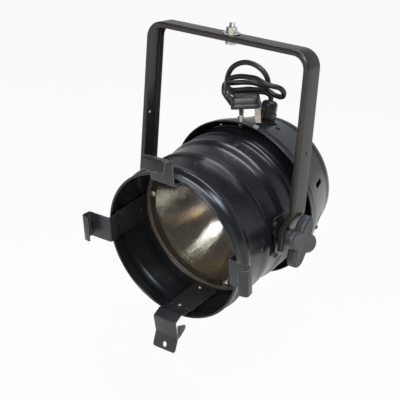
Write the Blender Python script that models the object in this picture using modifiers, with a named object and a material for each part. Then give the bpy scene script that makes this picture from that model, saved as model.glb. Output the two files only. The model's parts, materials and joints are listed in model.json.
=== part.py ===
"""A short-nose PAR 64 can: a spun lamp head that tilts in a channel yoke.

Metres, +Z up. The origin is the centre of the hanging hole in the yoke's top
face, where the lamp hangs. The lamp faces -Y and +X runs from leg to leg.

Head pieces are children of an empty on the tilt axis. In the head's frame +X
is the tilt axis, -Y points forward along the lamp's axis and +Z is up. A
"station" is a distance forward of the tilt axis along the lamp's axis, and an
"angle" runs round the lamp's axis from +X towards +Z.
"""
import math

import bmesh
import bpy
from mathutils import Matrix, Vector

# Clearance between pieces that touch
GAP = 0.0003
# Facets of the round can, and how far a facet's middle falls inside its circle
CAN_STEPS = 44
FACET = math.cos(math.pi / CAN_STEPS)

# Yoke: a channel strap bent to a U
YOKE_FACE = 0.031
YOKE_FLANGE = 0.0075
YOKE_SHEET = 0.002
YOKE_EDGE_RADIUS = 0.003
YOKE_CORNER_RADIUS = 0.024
PIVOT_DROP = 0.253
TAB_INSET = 0.012
JOGGLE_TOP = 0.037
JOGGLE_BOTTOM = 0.011
JOGGLE_RADIUS = 0.012
TAB_BELOW = 0.017
LEG_HOLE_HEIGHT = 0.120
LEG_HOLE_RADIUS = 0.0022

# Hanging bolt, M8
BOLT_RADIUS = 0.004
BOLT_CLEARANCE = 0.0005
NUT_ACROSS_CORNERS = 0.015
NUT_HEIGHT = 0.0065
BOLT_HEAD_HEIGHT = 0.0062
BOLT_COLLAR_RADIUS = 0.0066
BOLT_COLLAR_HEIGHT = 0.0050
BOLT_END_ABOVE_NUT = 0.006
HANGING_WASHER_RADIUS = 0.012
HANGING_WASHER_THICKNESS = 0.002

# Head
NOSE_DOWN = math.radians(11.0)
TUBE_WALL = 0.001
BEAD_RADIUS = 0.0018
RIM_STATION = 0.1042
COLLAR_RADIUS = 0.1052
RIM_OVER_COLLAR = 0.0018
RIM_RADIUS = COLLAR_RADIUS + RIM_OVER_COLLAR
COLLAR_SWELL = 0.0028
COLLAR_SWELL_FRONT = 0.0905
COLLAR_REAR = 0.0730
# Each band of the tube: its front and rear stations, and its radius over the collar's at each
BAND_SIZES = (
    (0.0730, 0.0262, 0.0006, 0.0014),
    (0.0262, -0.0183, -0.0004, 0.0023),
    (-0.0183, -0.0456, 0.0, 0.0018),
    (-0.0456, -0.0780, -0.0008, 0.0014),
)
BANDS = tuple((front, rear, COLLAR_RADIUS + start, COLLAR_RADIUS + end)
              for front, rear, start, end in BAND_SIZES)
LAMP_BAND_RADIUS = BANDS[1][2]
PIVOT_BAND_RADIUS = BANDS[1][3]
SHOULDER = 0.005

# Rear bell
BELL_FRONT = -0.0582
BELL_STANDOFF = 0.0121
BELL_FRONT_RADIUS = COLLAR_RADIUS + BELL_STANDOFF
BELL_LIP_LENGTH = 0.0118
BELL_LIP_CLOSING = 0.0015
BELL_LIP_REAR_RADIUS = BELL_FRONT_RADIUS - BELL_LIP_CLOSING
BELL_CREASE = -0.137
BELL_CLOSING = 0.0238
BELL_CREASE_RADIUS = BELL_FRONT_RADIUS - BELL_CLOSING
BELL_REAR = -0.170
BELL_FLAT_RADIUS = 0.048
BELL_WALL = 0.0012
SLOT_COUNT = 12
SLOT_FIRST_ANGLE = 16.7
SLOT_STATION = -0.104
SLOT_LENGTH = 0.026
SLOT_WIDTH = 0.007

# Bell brackets
BRACKET_ANGLES = (102.0, 222.0, 342.0)
BRACKET_SPAN = 26.0
BRACKET_SHEET = 0.0012
BRACKET_FRONT = -0.062
BRACKET_KNEE = -0.0765
BRACKET_REAR = -0.098
BRACKET_LANDING = -0.087
BELL_SCREW_STATION = -0.0705
BELL_SCREW_SPREAD = 9.0
SKIRT_SCREW_STATION = -0.0925

# Colour-frame clips and latch
# Each fixed clip: angle, how far its channel flares outward at the front, and its lip's length
CLIPS = {"top": (90.0, 0.0050, 0.0155), "left": (180.0, 0.0020, 0.0130), "right": (0.0, 0.0020, 0.0130)}
LATCH_ANGLE = -90.0
CLIP_WIDTH = 0.038
CLIP_SHEET = 0.0014
CLIP_LEG_REAR = 0.031
CLIP_NECK_INSIDE_RIM = 0.007
CLIP_NECK = RIM_RADIUS - CLIP_NECK_INSIDE_RIM
CLIP_JOGGLE_BEHIND_RIM = 0.0067
CLIP_JOGGLE_LENGTH = 0.005
CLIP_JOGGLE_FRONT = RIM_STATION - CLIP_JOGGLE_BEHIND_RIM
CLIP_JOGGLE_REAR = CLIP_JOGGLE_FRONT - CLIP_JOGGLE_LENGTH
CLIP_PLATE_BEFORE_RIM = 0.0088
CLIP_PLATE = RIM_STATION + CLIP_PLATE_BEFORE_RIM
CLIP_SLOT_OUTSIDE_RIM = 0.0270
CLIP_SLOT_RADIUS = RIM_RADIUS + CLIP_SLOT_OUTSIDE_RIM
CLIP_SLOT_DEPTH = 0.0135
CLIP_LIP = CLIP_PLATE + CLIP_SLOT_DEPTH
CLIP_BEND = 0.0015
# Each clip's rivets: angle and station of the flush front one and of the domed rear one
RIVETS = {
    90.0: ((90.0, 0.0880), (85.4, 0.0540)),
    180.0: ((180.0, 0.0890), (181.5, 0.0430)),
    0.0: ((0.0, 0.0880), (1.2, 0.0470)),
    -90.0: ((-92.5, 0.0880), (-94.0, 0.0380)),
}
LATCH_WIDTH = 0.038
# The latch's bends: how far each lies before the rim and outside the clips' necks
LATCH_BENDS = {"hump": (0.0103, -0.0038), "catch": (0.0230, 0.0015), "heel": (0.0203, 0.0268),
               "tip": (0.0296, 0.0470)}
LATCH_HUMP, LATCH_CATCH, LATCH_HEEL, LATCH_TIP = [
    (RIM_STATION + before, CLIP_NECK + out) for before, out in LATCH_BENDS.values()]
LATCH_HOLE_RADIUS = 0.0032
LATCH_HOLE_FROM_TIP = 0.0075
LATCH_EAR_SHEET = 0.0012
# The ear's corners: how far each lies before the heel and outside it
LATCH_EAR_OUTLINE = ((0.0008, -0.0200), (0.0006, 0.0008), (-0.0030, -0.0004), (-0.0141, -0.0061),
                     (-0.0166, -0.0108), (-0.0150, -0.0135), (-0.0060, -0.0175))

# Tilt pivots
BRACKET_PLATE_RADIUS = PIVOT_BAND_RADIUS + GAP
BRACKET_PLATE_SHEET = 0.0014
BRACKET_PLATE_LENGTH = 0.040
BRACKET_PLATE_HEIGHT = 0.062
BRACKET_SCREW_OFFSET = (0.0145, 0.024)
STUD_RADIUS = 0.004
STUD_HEAD_RADIUS = 0.007
STUD_HEAD_HEIGHT = 0.0035
STUD_IN_KNOB = 0.012
FRICTION_WASHER_RADIUS = 0.0112
FRICTION_WASHER_THICKNESS = 0.0062
KNOB_WASHER_RADIUS = 0.0105
KNOB_WASHER_THICKNESS = 0.0016
KNOB_RADIUS = 0.0345
KNOB_WAIST = 0.018
KNOB_THICKNESS = 0.0150
KNOB_BOSS_RADIUS = 0.0095
KNOB_STANDOFF = 0.0075
KNOB_EDGE = 0.003
KNOB_TURN = math.radians(68.0)

# Screws
SCREW_RADIUS = 0.0018
SCREW_CLEARANCE = 0.0003
SCREW_HEAD_RADIUS = 0.0034
SCREW_HEAD_HEIGHT = 0.0021
SCREW_INSIDE = 0.003
RIVET_RADIUS = 0.0016
RIVET_HEAD_RADIUS = 0.0032
RIVET_HEAD_HEIGHT = 0.0011
BITE = 0.0002

# Lamp, its seat and the mesh guard
SEAT_FRONT = 0.0250
SEAT_REAR = 0.0170
SEAT_SHEET = 0.0012
SEAT_OUTER = LAMP_BAND_RADIUS - TUBE_WALL - GAP
SEAT_FRONT_FACE = 0.0135
SEAT_GUARD_BORE = SEAT_OUTER - SEAT_FRONT_FACE
SEAT_REAR_FACE = 0.008
SEAT_LAMP_BORE = SEAT_OUTER - SEAT_REAR_FACE
GUARD_THICKNESS = 0.001
GUARD_RIM_THICKNESS = 0.0022
GUARD_RIM_OUTER = SEAT_OUTER - 0.0002
GUARD_RIM_FACE = 0.0049
GUARD_RADIUS = GUARD_RIM_OUTER - GUARD_RIM_FACE
GUARD_SCREW_ANGLES = (168.0, 48.0, -72.0)
GUARD_SCREW_INSIDE_EDGE = 0.0047
GUARD_SCREW_RADIUS = GUARD_RADIUS - GUARD_SCREW_INSIDE_EDGE
GUARD_WASHER_RADIUS = 0.0046
GUARD_WASHER_THICKNESS = 0.0008
LAMP_CLEARANCE = 0.0022
LAMP_RIM_RADIUS = LAMP_BAND_RADIUS - TUBE_WALL - LAMP_CLEARANCE
LAMP_RIM_THICKNESS = 0.0028
LENS_DOME = 0.0062
LENS_WALL = 0.0028
REFLECTOR_VERTEX = -0.064
REFLECTOR_WALL = 0.0022
REFLECTOR_NECK = 0.010
LAMP_BASE_RADIUS = 0.019
LAMP_BASE_LENGTH = 0.033
PRONG_SPREAD = 0.0065
PRONG_SIZE = (0.0012, 0.0062, 0.016)
CAPSULE_RADIUS = 0.0062
CAPSULE_LENGTH = 0.034
SPRING_WIRE = 0.0018
SOCKET_SIZE = (0.034, 0.028, 0.022)
BLOCK_SIZE = (0.036, 0.014, 0.020)
BLOCK_HEIGHT = 0.030
LEAD_RADIUS = 0.0013
LEAD_SPREAD = 0.009

# Gland on the bell
GLAND_ANGLE = 88.0
GLAND_STATION = -0.122
GLAND_NECK_RADIUS = 0.008
GLAND_NECK_INSIDE = 0.011
GLAND_NECK_OUTSIDE = 0.020
GLAND_NUT_RADIUS = 0.0125
GLAND_NUT_HEIGHT = 0.0095
GLAND_DOME_RADIUS = 0.012
GLAND_DOME_HEIGHT = 0.0165
GLAND_LOCKNUT_HEIGHT = 0.005

# Cord and plug
CORD_RADIUS = 0.0037
CORD_POINT_SPACING = 0.0072
PLUG_STATION = -0.077
PLUG_OFFSET = 0.005
PLUG_ROLL = math.radians(12.0)
PLUG_TURN = math.radians(30.0)
PLUG_LENGTH = 0.042
PLUG_BREADTH = 0.044
PLUG_DEPTH = 0.018
PLUG_TAPER = 0.86
PLUG_EDGE = 0.003
PLUG_BEHIND_PINS = 0.004
PIN_SPREAD = 0.0222
LINE_PIN = (0.004, 0.00635, 0.0177)
EARTH_PIN = (0.008, 0.004, 0.0227)
CORD_GRIP_RADIUS = 0.0056
CORD_GRIP_LENGTH = 0.010
CORD_GRIP_HEIGHT = 0.009
CORD_GRIP_LEAN = math.radians(42.0)
CORD_GRIP_ROOT = 0.005
# Route of the cord in the head's frame, from above the gland to beside the plug
CORD_ROUTE = (
    (0.001, 0.127, 0.136), (-0.008, 0.119, 0.139), (-0.020, 0.112, 0.138), (-0.035, 0.107, 0.134),
    (-0.047, 0.106, 0.1355), (-0.053, 0.107, 0.144), (-0.052, 0.107, 0.156), (-0.045, 0.107, 0.170),
    (-0.033, 0.107, 0.180), (-0.018, 0.107, 0.185), (-0.004, 0.107, 0.184), (0.007, 0.108, 0.178),
    (0.0135, 0.1095, 0.168), (0.0145, 0.110, 0.158), (0.008, 0.109, 0.1495), (-0.0025, 0.1075, 0.1475),
    (-0.016, 0.106, 0.146), (-0.029, 0.102, 0.1435), (-0.040, 0.0985, 0.1425), (-0.0465, 0.0975, 0.147),
    (-0.0465, 0.098, 0.154), (-0.040, 0.099, 0.160), (-0.028, 0.1015, 0.164), (-0.014, 0.101, 0.1665),
    (0.003, 0.099, 0.168), (0.018, 0.096, 0.1655), (0.028, 0.100, 0.162), (0.035, 0.108, 0.1575),
    (0.037, 0.115, 0.149), (0.032, 0.119, 0.140), (0.020, 0.120, 0.139), (0.0095, 0.119, 0.144),
    (0.000, 0.117, 0.150), (-0.008, 0.1115, 0.1545), (-0.017, 0.1045, 0.1565), (-0.0255, 0.0975, 0.157),
    (-0.0315, 0.091, 0.1575), (-0.0345, 0.0835, 0.159), (-0.0335, 0.075, 0.1605), (-0.0302, 0.0685, 0.1590),
)


def clear_scene():
    """Removes every object, so the script can run twice."""
    for obj in list(bpy.data.objects):
        bpy.data.objects.remove(obj, do_unlink=True)


def collection(name):
    """A new collection in the scene."""
    made = bpy.data.collections.new(name)
    bpy.context.scene.collection.children.link(made)
    return made


def material(name, colour, roughness, metallic=0.0):
    """A plain Principled material."""
    made = bpy.data.materials.new(name)
    made.use_nodes = True
    shader = made.node_tree.nodes["Principled BSDF"]
    shader.inputs["Base Color"].default_value = (*colour, 1.0)
    shader.inputs["Roughness"].default_value = roughness
    shader.inputs["Metallic"].default_value = metallic
    return made


clear_scene()
PARTS = collection("par_can")
CUTTERS = collection("cutters")

BLACK_PAINT = material("black_paint", (0.022, 0.023, 0.026), 0.38)
YOKE_PAINT = material("yoke_paint", (0.020, 0.019, 0.019), 0.30)
CLIP_PAINT = material("clip_paint", (0.045, 0.048, 0.052), 0.42)
ZINC = material("zinc", (0.62, 0.62, 0.60), 0.32, 1.0)
BRASS = material("brass", (0.72, 0.52, 0.22), 0.30, 1.0)
REFLECTOR = material("reflector", (0.85, 0.83, 0.78), 0.08, 1.0)
GLASS = material("glass", (0.90, 0.92, 0.92), 0.05)
WIRE_MESH = material("wire_mesh", (0.42, 0.38, 0.32), 0.40, 1.0)
CERAMIC = material("ceramic", (0.80, 0.77, 0.70), 0.55)
KNOB_PLASTIC = material("knob_plastic", (0.050, 0.053, 0.058), 0.55)
BLACK_PLASTIC = material("black_plastic", (0.018, 0.018, 0.018), 0.45)
CORD_RUBBER = material("cord_rubber", (0.012, 0.012, 0.013), 0.50)
FIBRE = material("fibre", (0.16, 0.13, 0.10), 0.80)
LEAD_SLEEVE = material("lead_sleeve", (0.72, 0.70, 0.64), 0.70)


def empty(name, location, rotation=(0.0, 0.0, 0.0), parent=None):
    """A guide that carries other objects."""
    made = bpy.data.objects.new(name, None)
    made.location = location
    made.rotation_euler = rotation
    made.parent = parent
    PARTS.objects.link(made)
    return made


def add(name, data, finish, parent=None, location=(0, 0, 0), rotation=(0, 0, 0)):
    """Links a mesh or a curve as a named part."""
    obj = bpy.data.objects.new(name, data)
    obj.location = location
    obj.rotation_euler = rotation
    obj.parent = parent
    data.materials.append(finish)
    PARTS.objects.link(obj)
    return obj


def to_mesh(bm, name, smooth=True):
    """Turns a bmesh into a mesh, with flat faces kept sharp."""
    mesh = bpy.data.meshes.new(name)
    bm.to_mesh(mesh)
    bm.free()
    if smooth:
        mesh.shade_smooth()
        mesh.set_sharp_from_angle(angle=math.radians(35))
    return mesh


def as_cutter(obj):
    """Hides an object that only cuts or joins others."""
    PARTS.objects.unlink(obj)
    CUTTERS.objects.link(obj)
    obj.hide_render = True
    obj.display_type = "WIRE"
    return obj


def boolean(target, tool, operation="DIFFERENCE"):
    """Cuts a target by a tool, or joins the two."""
    cut = target.modifiers.new(tool.name, "BOOLEAN")
    cut.operation = operation
    cut.object = tool
    cut.solver = "EXACT"


def drill(target, name, frames, radius, depth, sides=12):
    """Cuts round holes along the Z axes of frames given in the target's parent frame."""
    bm = bmesh.new()
    for frame in frames:
        bmesh.ops.create_cone(bm, cap_ends=True, segments=sides, radius1=radius, radius2=radius,
                              depth=depth, matrix=frame)
    cutter = as_cutter(add(name, to_mesh(bm, name, smooth=False), BLACK_PAINT, target.parent))
    boolean(target, cutter)


def turned(name, profile, finish, parent=None, location=(0, 0, 0), rotation=(0, 0, 0), steps=CAN_STEPS):
    """Turns a profile of (height, radius) about Z, its outer side running downwards.

    A profile with both ends on the axis is a solid or a cup, any other is a ring.
    """
    closed = profile[0][1] > 0 or profile[-1][1] > 0
    count = len(profile)
    edges = [(i, i + 1) for i in range(count - 1)] + ([(count - 1, 0)] if closed else [])
    mesh = bpy.data.meshes.new(name)
    mesh.from_pydata([(radius, 0.0, height) for height, radius in profile], edges, [])
    obj = add(name, mesh, finish, parent, location, rotation)
    turn = obj.modifiers.new("Turn", "SCREW")
    turn.steps = steps
    turn.render_steps = steps
    turn.use_merge_vertices = True
    turn.merge_threshold = 0.00001
    turn.use_smooth_shade = True
    return obj


# Turns an object's own Z axis forward along the lamp's axis
FORWARD = (math.pi / 2, 0.0, 0.0)


def radial_frame(angle, station, radius, lean=0.0):
    """Frame on the can with Z outward, leaning back by an angle, in the head's frame."""
    turn = Matrix.Rotation(math.radians(90.0 - angle), 4, "Y")
    place = Matrix.Translation((0.0, -station, radius))
    return turn @ place @ Matrix.Rotation(-lean, 4, "X")


def place(obj, frame):
    """Sets an object's location and rotation from a frame."""
    obj.location = frame.to_translation()
    obj.rotation_euler = frame.to_euler()
    return obj


def ring_section(top, bottom, outer, inner):
    """Closed profile of a plain ring."""
    return [(top, outer), (bottom, outer), (bottom, inner), (top, inner)]


def arc(centre, radii, start, end, count):
    """Points of an elliptic arc in the (station, radius) plane, angles in degrees."""
    points = []
    for i in range(count + 1):
        turn = math.radians(start + (end - start) * i / count)
        points.append((centre[0] + radii[0] * math.cos(turn), centre[1] + radii[1] * math.sin(turn)))
    return points


def rounded(points, radii, count=3):
    """A path with its inner corners rounded."""
    path = [Vector(points[0])]
    for before, corner, after, radius in zip(points, points[1:], points[2:], radii):
        corner = Vector(corner)
        arrive = (Vector(before) - corner).normalized()
        leave = (Vector(after) - corner).normalized()
        half = arrive.angle(leave) / 2
        reach = radius / math.tan(half)
        centre = corner + (arrive + leave).normalized() * radius / math.sin(half)
        first = corner + arrive * reach - centre
        sweep = first.angle_signed(corner + leave * reach - centre)
        for i in range(count + 1):
            path.append(centre + Matrix.Rotation(-sweep * i / count, 2) @ first)
    path.append(Vector(points[-1]))
    return path


def sheet(name, rows, columns, point):
    """A grid of rows and columns whose points are placed by a function."""
    bm = bmesh.new()
    bmesh.ops.create_grid(bm, x_segments=columns - 1, y_segments=rows - 1, size=0.5)
    for vert in bm.verts:
        column = round((vert.co.x + 0.5) * (columns - 1))
        row = round((vert.co.y + 0.5) * (rows - 1))
        vert.co = point(row, column)
    return to_mesh(bm, name)


def thicken(obj, thickness):
    """Gives a sheet its thickness behind its face."""
    solid = obj.modifiers.new("Sheet", "SOLIDIFY")
    solid.thickness = thickness
    solid.use_even_offset = True
    return obj


def strip(name, path, width, thickness, finish, angle, origin=(0.0, 0.0)):
    """A bent strip across X, its face on the left of a (station, radius) path."""
    half = width / 2

    def point(row, column):
        station, radius = path[row]
        return (half - width * column, origin[0] - station, radius - origin[1])

    obj = add(name, sheet(name, len(path), 2, point), finish, HEAD)
    place(obj, radial_frame(angle, *origin))
    return thicken(obj, thickness)


def box(name, size, finish, parent=None, frame=Matrix.Identity(4), edge=0.0):
    """A box centred on a frame, with its edges rounded."""
    bm = bmesh.new()
    bmesh.ops.create_cube(bm, size=1.0)
    bmesh.ops.scale(bm, vec=size, verts=bm.verts)
    obj = place(add(name, to_mesh(bm, name, smooth=False), finish, parent), frame)
    if edge:
        bevel = obj.modifiers.new("Edges", "BEVEL")
        bevel.width = edge
        bevel.segments = 2
    return obj


def joined_boxes(name, size, centres, finish, parent):
    """Several equal boxes in one object."""
    bm = bmesh.new()
    for centre in centres:
        made = bmesh.ops.create_cube(bm, size=1.0)["verts"]
        bmesh.ops.scale(bm, vec=size, verts=made)
        bmesh.ops.translate(bm, vec=centre, verts=made)
    return add(name, to_mesh(bm, name, smooth=False), finish, parent)


def copies(name, shape, frames, finish, parent):
    """Copies of one turned fastener at frames, as a single hidden cutter."""
    bpy.context.view_layer.update()
    source = bpy.data.meshes.new_from_object(shape.evaluated_get(bpy.context.evaluated_depsgraph_get()))
    bm = bmesh.new()
    for frame in frames:
        start = len(bm.verts)
        bm.from_mesh(source)
        bm.verts.ensure_lookup_table()
        bmesh.ops.transform(bm, matrix=frame, verts=bm.verts[start:])
    bpy.data.objects.remove(shape, do_unlink=True)
    bpy.data.meshes.remove(source)
    return as_cutter(add(name, to_mesh(bm, name), finish, parent))


def screw_profile(length):
    """A pan-head screw, its head's underside at zero height."""
    return [(SCREW_HEAD_HEIGHT, 0.0), (SCREW_HEAD_HEIGHT, SCREW_HEAD_RADIUS * 0.6),
            (SCREW_HEAD_HEIGHT * 0.55, SCREW_HEAD_RADIUS), (0.0, SCREW_HEAD_RADIUS),
            (0.0, SCREW_RADIUS), (-length, SCREW_RADIUS), (-length, 0.0)]


def screw(name, frame, length, finish, parent):
    """One pan-head screw with its head along a frame's Z axis."""
    return place(turned(name, screw_profile(length), finish, parent, steps=10), frame)


def screw_heads(name, frames, length, finish, parent):
    """Equal screws as one hidden object, to be joined to the plate that they hold."""
    shape = turned(name + "_shape", screw_profile(length), finish, steps=8)
    return copies(name, shape, frames, finish, parent)


# Yoke

TAB_X = BRACKET_PLATE_RADIUS + BRACKET_PLATE_SHEET + 2 * GAP + FRICTION_WASHER_THICKNESS + YOKE_SHEET
LEG_X = TAB_X + TAB_INSET


def yoke_half_path():
    """Outer face of the strap from the middle of the web to the right tab's end."""
    points = [(0.0, 0.0), (LEG_X, 0.0), (LEG_X, -PIVOT_DROP + JOGGLE_TOP),
              (TAB_X, -PIVOT_DROP + JOGGLE_BOTTOM), (TAB_X, -PIVOT_DROP - TAB_BELOW)]
    path = rounded(points[:3], [YOKE_CORNER_RADIUS], count=6)[:-1]
    return path + rounded(points[1:], [JOGGLE_RADIUS, JOGGLE_RADIUS], count=2)[1:]


def channel_section():
    """Across the strap: distance along Y and depth behind the outer face."""
    half = YOKE_FACE / 2
    corner = arc((half - YOKE_EDGE_RADIUS, YOKE_EDGE_RADIUS),
                 (YOKE_EDGE_RADIUS, YOKE_EDGE_RADIUS), 0, -90, 2)
    side = [(half, YOKE_FLANGE)] + corner
    return side + [(-y, depth) for y, depth in reversed(side)]


def make_yoke():
    """The channel strap with its hanging hole, leg holes and pivot holes."""
    path = yoke_half_path()
    section = channel_section()

    def inward(row):
        ahead = path[min(row + 1, len(path) - 1)] - path[row]
        behind = path[row] - path[max(row - 1, 0)]
        along = (ahead.normalized() + behind.normalized()).normalized()
        stretch = 1.0 / max(along.dot(ahead.normalized() if ahead.length else along), 0.5)
        return Vector((along.y, -along.x)) * stretch

    def point(row, column):
        y, depth = section[column]
        at = path[row] + inward(row) * depth
        return (at.x, y, at.y)

    yoke = add("yoke", sheet("yoke", len(path), len(section), point), YOKE_PAINT)
    mirror = yoke.modifiers.new("Other leg", "MIRROR")
    mirror.use_axis = (True, False, False)
    mirror.merge_threshold = 0.0001
    thicken(yoke, YOKE_SHEET)
    pivots = [Matrix.Translation((side * TAB_X, 0, -PIVOT_DROP)) @ Matrix.Rotation(math.pi / 2, 4, "Y")
              for side in (-1, 1)]
    drill(yoke, "yoke_round_holes", [Matrix.Identity(4)] + pivots, BOLT_RADIUS + BOLT_CLEARANCE,
          8 * YOKE_SHEET)
    leg_holes = [Matrix.Translation((side * LEG_X, 0, LEG_HOLE_HEIGHT - PIVOT_DROP))
                 @ Matrix.Rotation(math.pi / 2, 4, "Y") for side in (-1, 1)]
    drill(yoke, "yoke_leg_holes", leg_holes, LEG_HOLE_RADIUS, 4 * YOKE_SHEET)


def make_hanging_bolt():
    """The bolt through the web with its collar and head below it, and its washer and nut."""
    washer_top = GAP + HANGING_WASHER_THICKNESS
    turned("hanging_washer", ring_section(washer_top, GAP, HANGING_WASHER_RADIUS,
                                          BOLT_RADIUS + BOLT_CLEARANCE), ZINC, steps=24)
    nut_bottom = washer_top + GAP
    nut_bore = (BOLT_RADIUS + GAP) / math.cos(math.pi / 6)
    turned("hanging_nut", ring_section(nut_bottom + NUT_HEIGHT, nut_bottom, NUT_ACROSS_CORNERS / 2,
                                       nut_bore), ZINC, steps=6)
    seat = -YOKE_SHEET - GAP
    head_top = seat - BOLT_COLLAR_HEIGHT
    bolt_end = nut_bottom + NUT_HEIGHT + BOLT_END_ABOVE_NUT
    chamfer = BOLT_RADIUS * 0.2
    head = NUT_ACROSS_CORNERS / 2
    bolt = turned("hanging_bolt", [(bolt_end, 0.0), (bolt_end, BOLT_RADIUS - chamfer),
                                   (bolt_end - chamfer, BOLT_RADIUS), (seat, BOLT_RADIUS),
                                   (seat, BOLT_COLLAR_RADIUS), (head_top - BITE, BOLT_COLLAR_RADIUS),
                                   (head_top - BITE, BOLT_RADIUS),
                                   (head_top - BOLT_HEAD_HEIGHT / 2, BOLT_RADIUS),
                                   (head_top - BOLT_HEAD_HEIGHT / 2, 0.0)], ZINC, steps=24)
    hexagon = turned("hanging_bolt_head", [(head_top, 0.0), (head_top, head),
                                           (head_top - BOLT_HEAD_HEIGHT, head),
                                           (head_top - BOLT_HEAD_HEIGHT, 0.0)], ZINC, steps=6)
    boolean(bolt, as_cutter(hexagon), "UNION")


# Nose tube

HEAD = empty("head_pivot", (0.0, 0.0, -PIVOT_DROP), (NOSE_DOWN, 0.0, 0.0))
BEAD_CENTRE = (RIM_STATION - BEAD_RADIUS, RIM_RADIUS - BEAD_RADIUS)


def tube_outline():
    """Outer side of the spun tube, from its rolled rim to its rear edge."""
    outline = arc(BEAD_CENTRE, (BEAD_RADIUS, BEAD_RADIUS), -60, 180, 4)
    swell_length = COLLAR_SWELL_FRONT - COLLAR_REAR
    for i in range(5):
        share = i / 4
        base = COLLAR_RADIUS + (BANDS[0][2] - COLLAR_RADIUS) * share
        outline.append((COLLAR_SWELL_FRONT - swell_length * share,
                        base + COLLAR_SWELL * math.sin(math.pi * share)))
    for index, (front, rear, front_radius, rear_radius) in enumerate(BANDS):
        if index:
            outline.append((front - GAP, front_radius))
        next_radius = BANDS[index + 1][2] if index + 1 < len(BANDS) else rear_radius
        if next_radius < rear_radius:
            outline += arc((rear + SHOULDER, next_radius), (-SHOULDER, rear_radius - next_radius), 90, 10, 2)
        else:
            outline.append((rear, rear_radius))
    return outline


def band_radius(station):
    """Outer radius of the tube's bands at a station, leaving out their shoulders."""
    for front, rear, front_radius, rear_radius in BANDS:
        if rear <= station <= front:
            share = (front - station) / (front - rear - SHOULDER)
            return front_radius + (rear_radius - front_radius) * min(share, 1.0)
    return COLLAR_RADIUS


def tube_holes():
    """Frames of every screw and rivet hole in the tube."""
    frames = [radial_frame(angle, station, COLLAR_RADIUS)
              for rivets in RIVETS.values() for angle, station in rivets]
    frames += [frame for side in (0.0, 180.0) for frame in bracket_screw_frames(side)]
    return frames + bell_screw_frames()


def make_nose_tube():
    """The spun tube with its rolled rim, collar and stepped bands."""
    outline = tube_outline()
    inner = [(station, radius - TUBE_WALL) for station, radius in reversed(outline[4:])]
    tube = turned("nose_tube", outline + inner, BLACK_PAINT, HEAD, rotation=FORWARD)
    drill(tube, "tube_fastener_holes", tube_holes(), SCREW_RADIUS + SCREW_CLEARANCE, 0.014, sides=8)
    pivots = [radial_frame(side, 0.0, BANDS[1][3]) for side in (0.0, 180.0)]
    drill(tube, "tube_pivot_holes", pivots, STUD_RADIUS + BOLT_CLEARANCE, 0.012)


# Tilt pivots

def bracket_screw_frames(side):
    """Four screws at the corners of a pivot bracket, biting into its outer face."""
    outer = BRACKET_PLATE_RADIUS + BRACKET_PLATE_SHEET
    along, up = BRACKET_SCREW_OFFSET
    turn = math.degrees(math.asin(up / outer))
    return [radial_frame(side + sign * turn, station, outer - BITE)
            for sign in (-1, 1) for station in (along, -along)]


def make_pivot(name, side):
    """Bracket, screws, stud, washers and knob of one side; the side is 0 or 180 degrees."""
    direction = 1 if side == 0.0 else -1
    outer = BRACKET_PLATE_RADIUS + BRACKET_PLATE_SHEET
    span = 2 * math.asin(BRACKET_PLATE_HEIGHT / 2 / outer)
    half = BRACKET_PLATE_LENGTH / 2
    arc_steps = 8

    def point(row, column):
        turn = math.radians(side) + span * (row / arc_steps - 0.5)
        y = BRACKET_PLATE_LENGTH * column - half
        return (outer * math.cos(turn), y, outer * math.sin(turn))

    plate = add("pivot_bracket_" + name, sheet("pivot_bracket_" + name, arc_steps + 1, 2, point),
                BLACK_PAINT, HEAD)
    thicken(plate, BRACKET_PLATE_SHEET)
    drill(plate, "bracket_pivot_hole_" + name, [radial_frame(side, 0.0, outer)],
          STUD_RADIUS + BOLT_CLEARANCE, 0.008)
    length = outer - band_radius(0.0) + SCREW_INSIDE
    screws = screw_heads("bracket_screws_" + name, bracket_screw_frames(side), length, BLACK_PAINT, HEAD)
    boolean(plate, screws, "UNION")

    axis = (0.0, direction * math.pi / 2, 0.0)
    head_bottom = (band_radius(STUD_HEAD_RADIUS) - TUBE_WALL) * FACET - GAP
    head_bottom -= STUD_HEAD_RADIUS ** 2 / (2 * head_bottom)
    tab_outer = TAB_X
    washer_outer = tab_outer + GAP + KNOB_WASHER_THICKNESS
    knob_inner = washer_outer + GAP
    stud_end = knob_inner + STUD_IN_KNOB
    turned("pivot_stud_" + name,
           [(stud_end, 0.0), (stud_end, STUD_RADIUS), (head_bottom, STUD_RADIUS),
            (head_bottom, STUD_HEAD_RADIUS), (head_bottom - STUD_HEAD_HEIGHT * 0.4, STUD_HEAD_RADIUS),
            (head_bottom - STUD_HEAD_HEIGHT, STUD_HEAD_RADIUS * 0.5), (head_bottom - STUD_HEAD_HEIGHT, 0.0)],
           ZINC, HEAD, rotation=axis, steps=16)
    pivot_height = (0.0, 0.0, -PIVOT_DROP)
    washer_bore = STUD_RADIUS + BOLT_CLEARANCE
    turned("friction_washer_" + name,
           ring_section(tab_outer - YOKE_SHEET - GAP, outer + GAP, FRICTION_WASHER_RADIUS, washer_bore),
           FIBRE, None, pivot_height, axis, steps=20)
    turned("knob_washer_" + name,
           ring_section(washer_outer, tab_outer + GAP, KNOB_WASHER_RADIUS, washer_bore),
           ZINC, None, pivot_height, axis, steps=20)
    make_knob(name, pivot_height, axis, knob_inner, stud_end)


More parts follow.
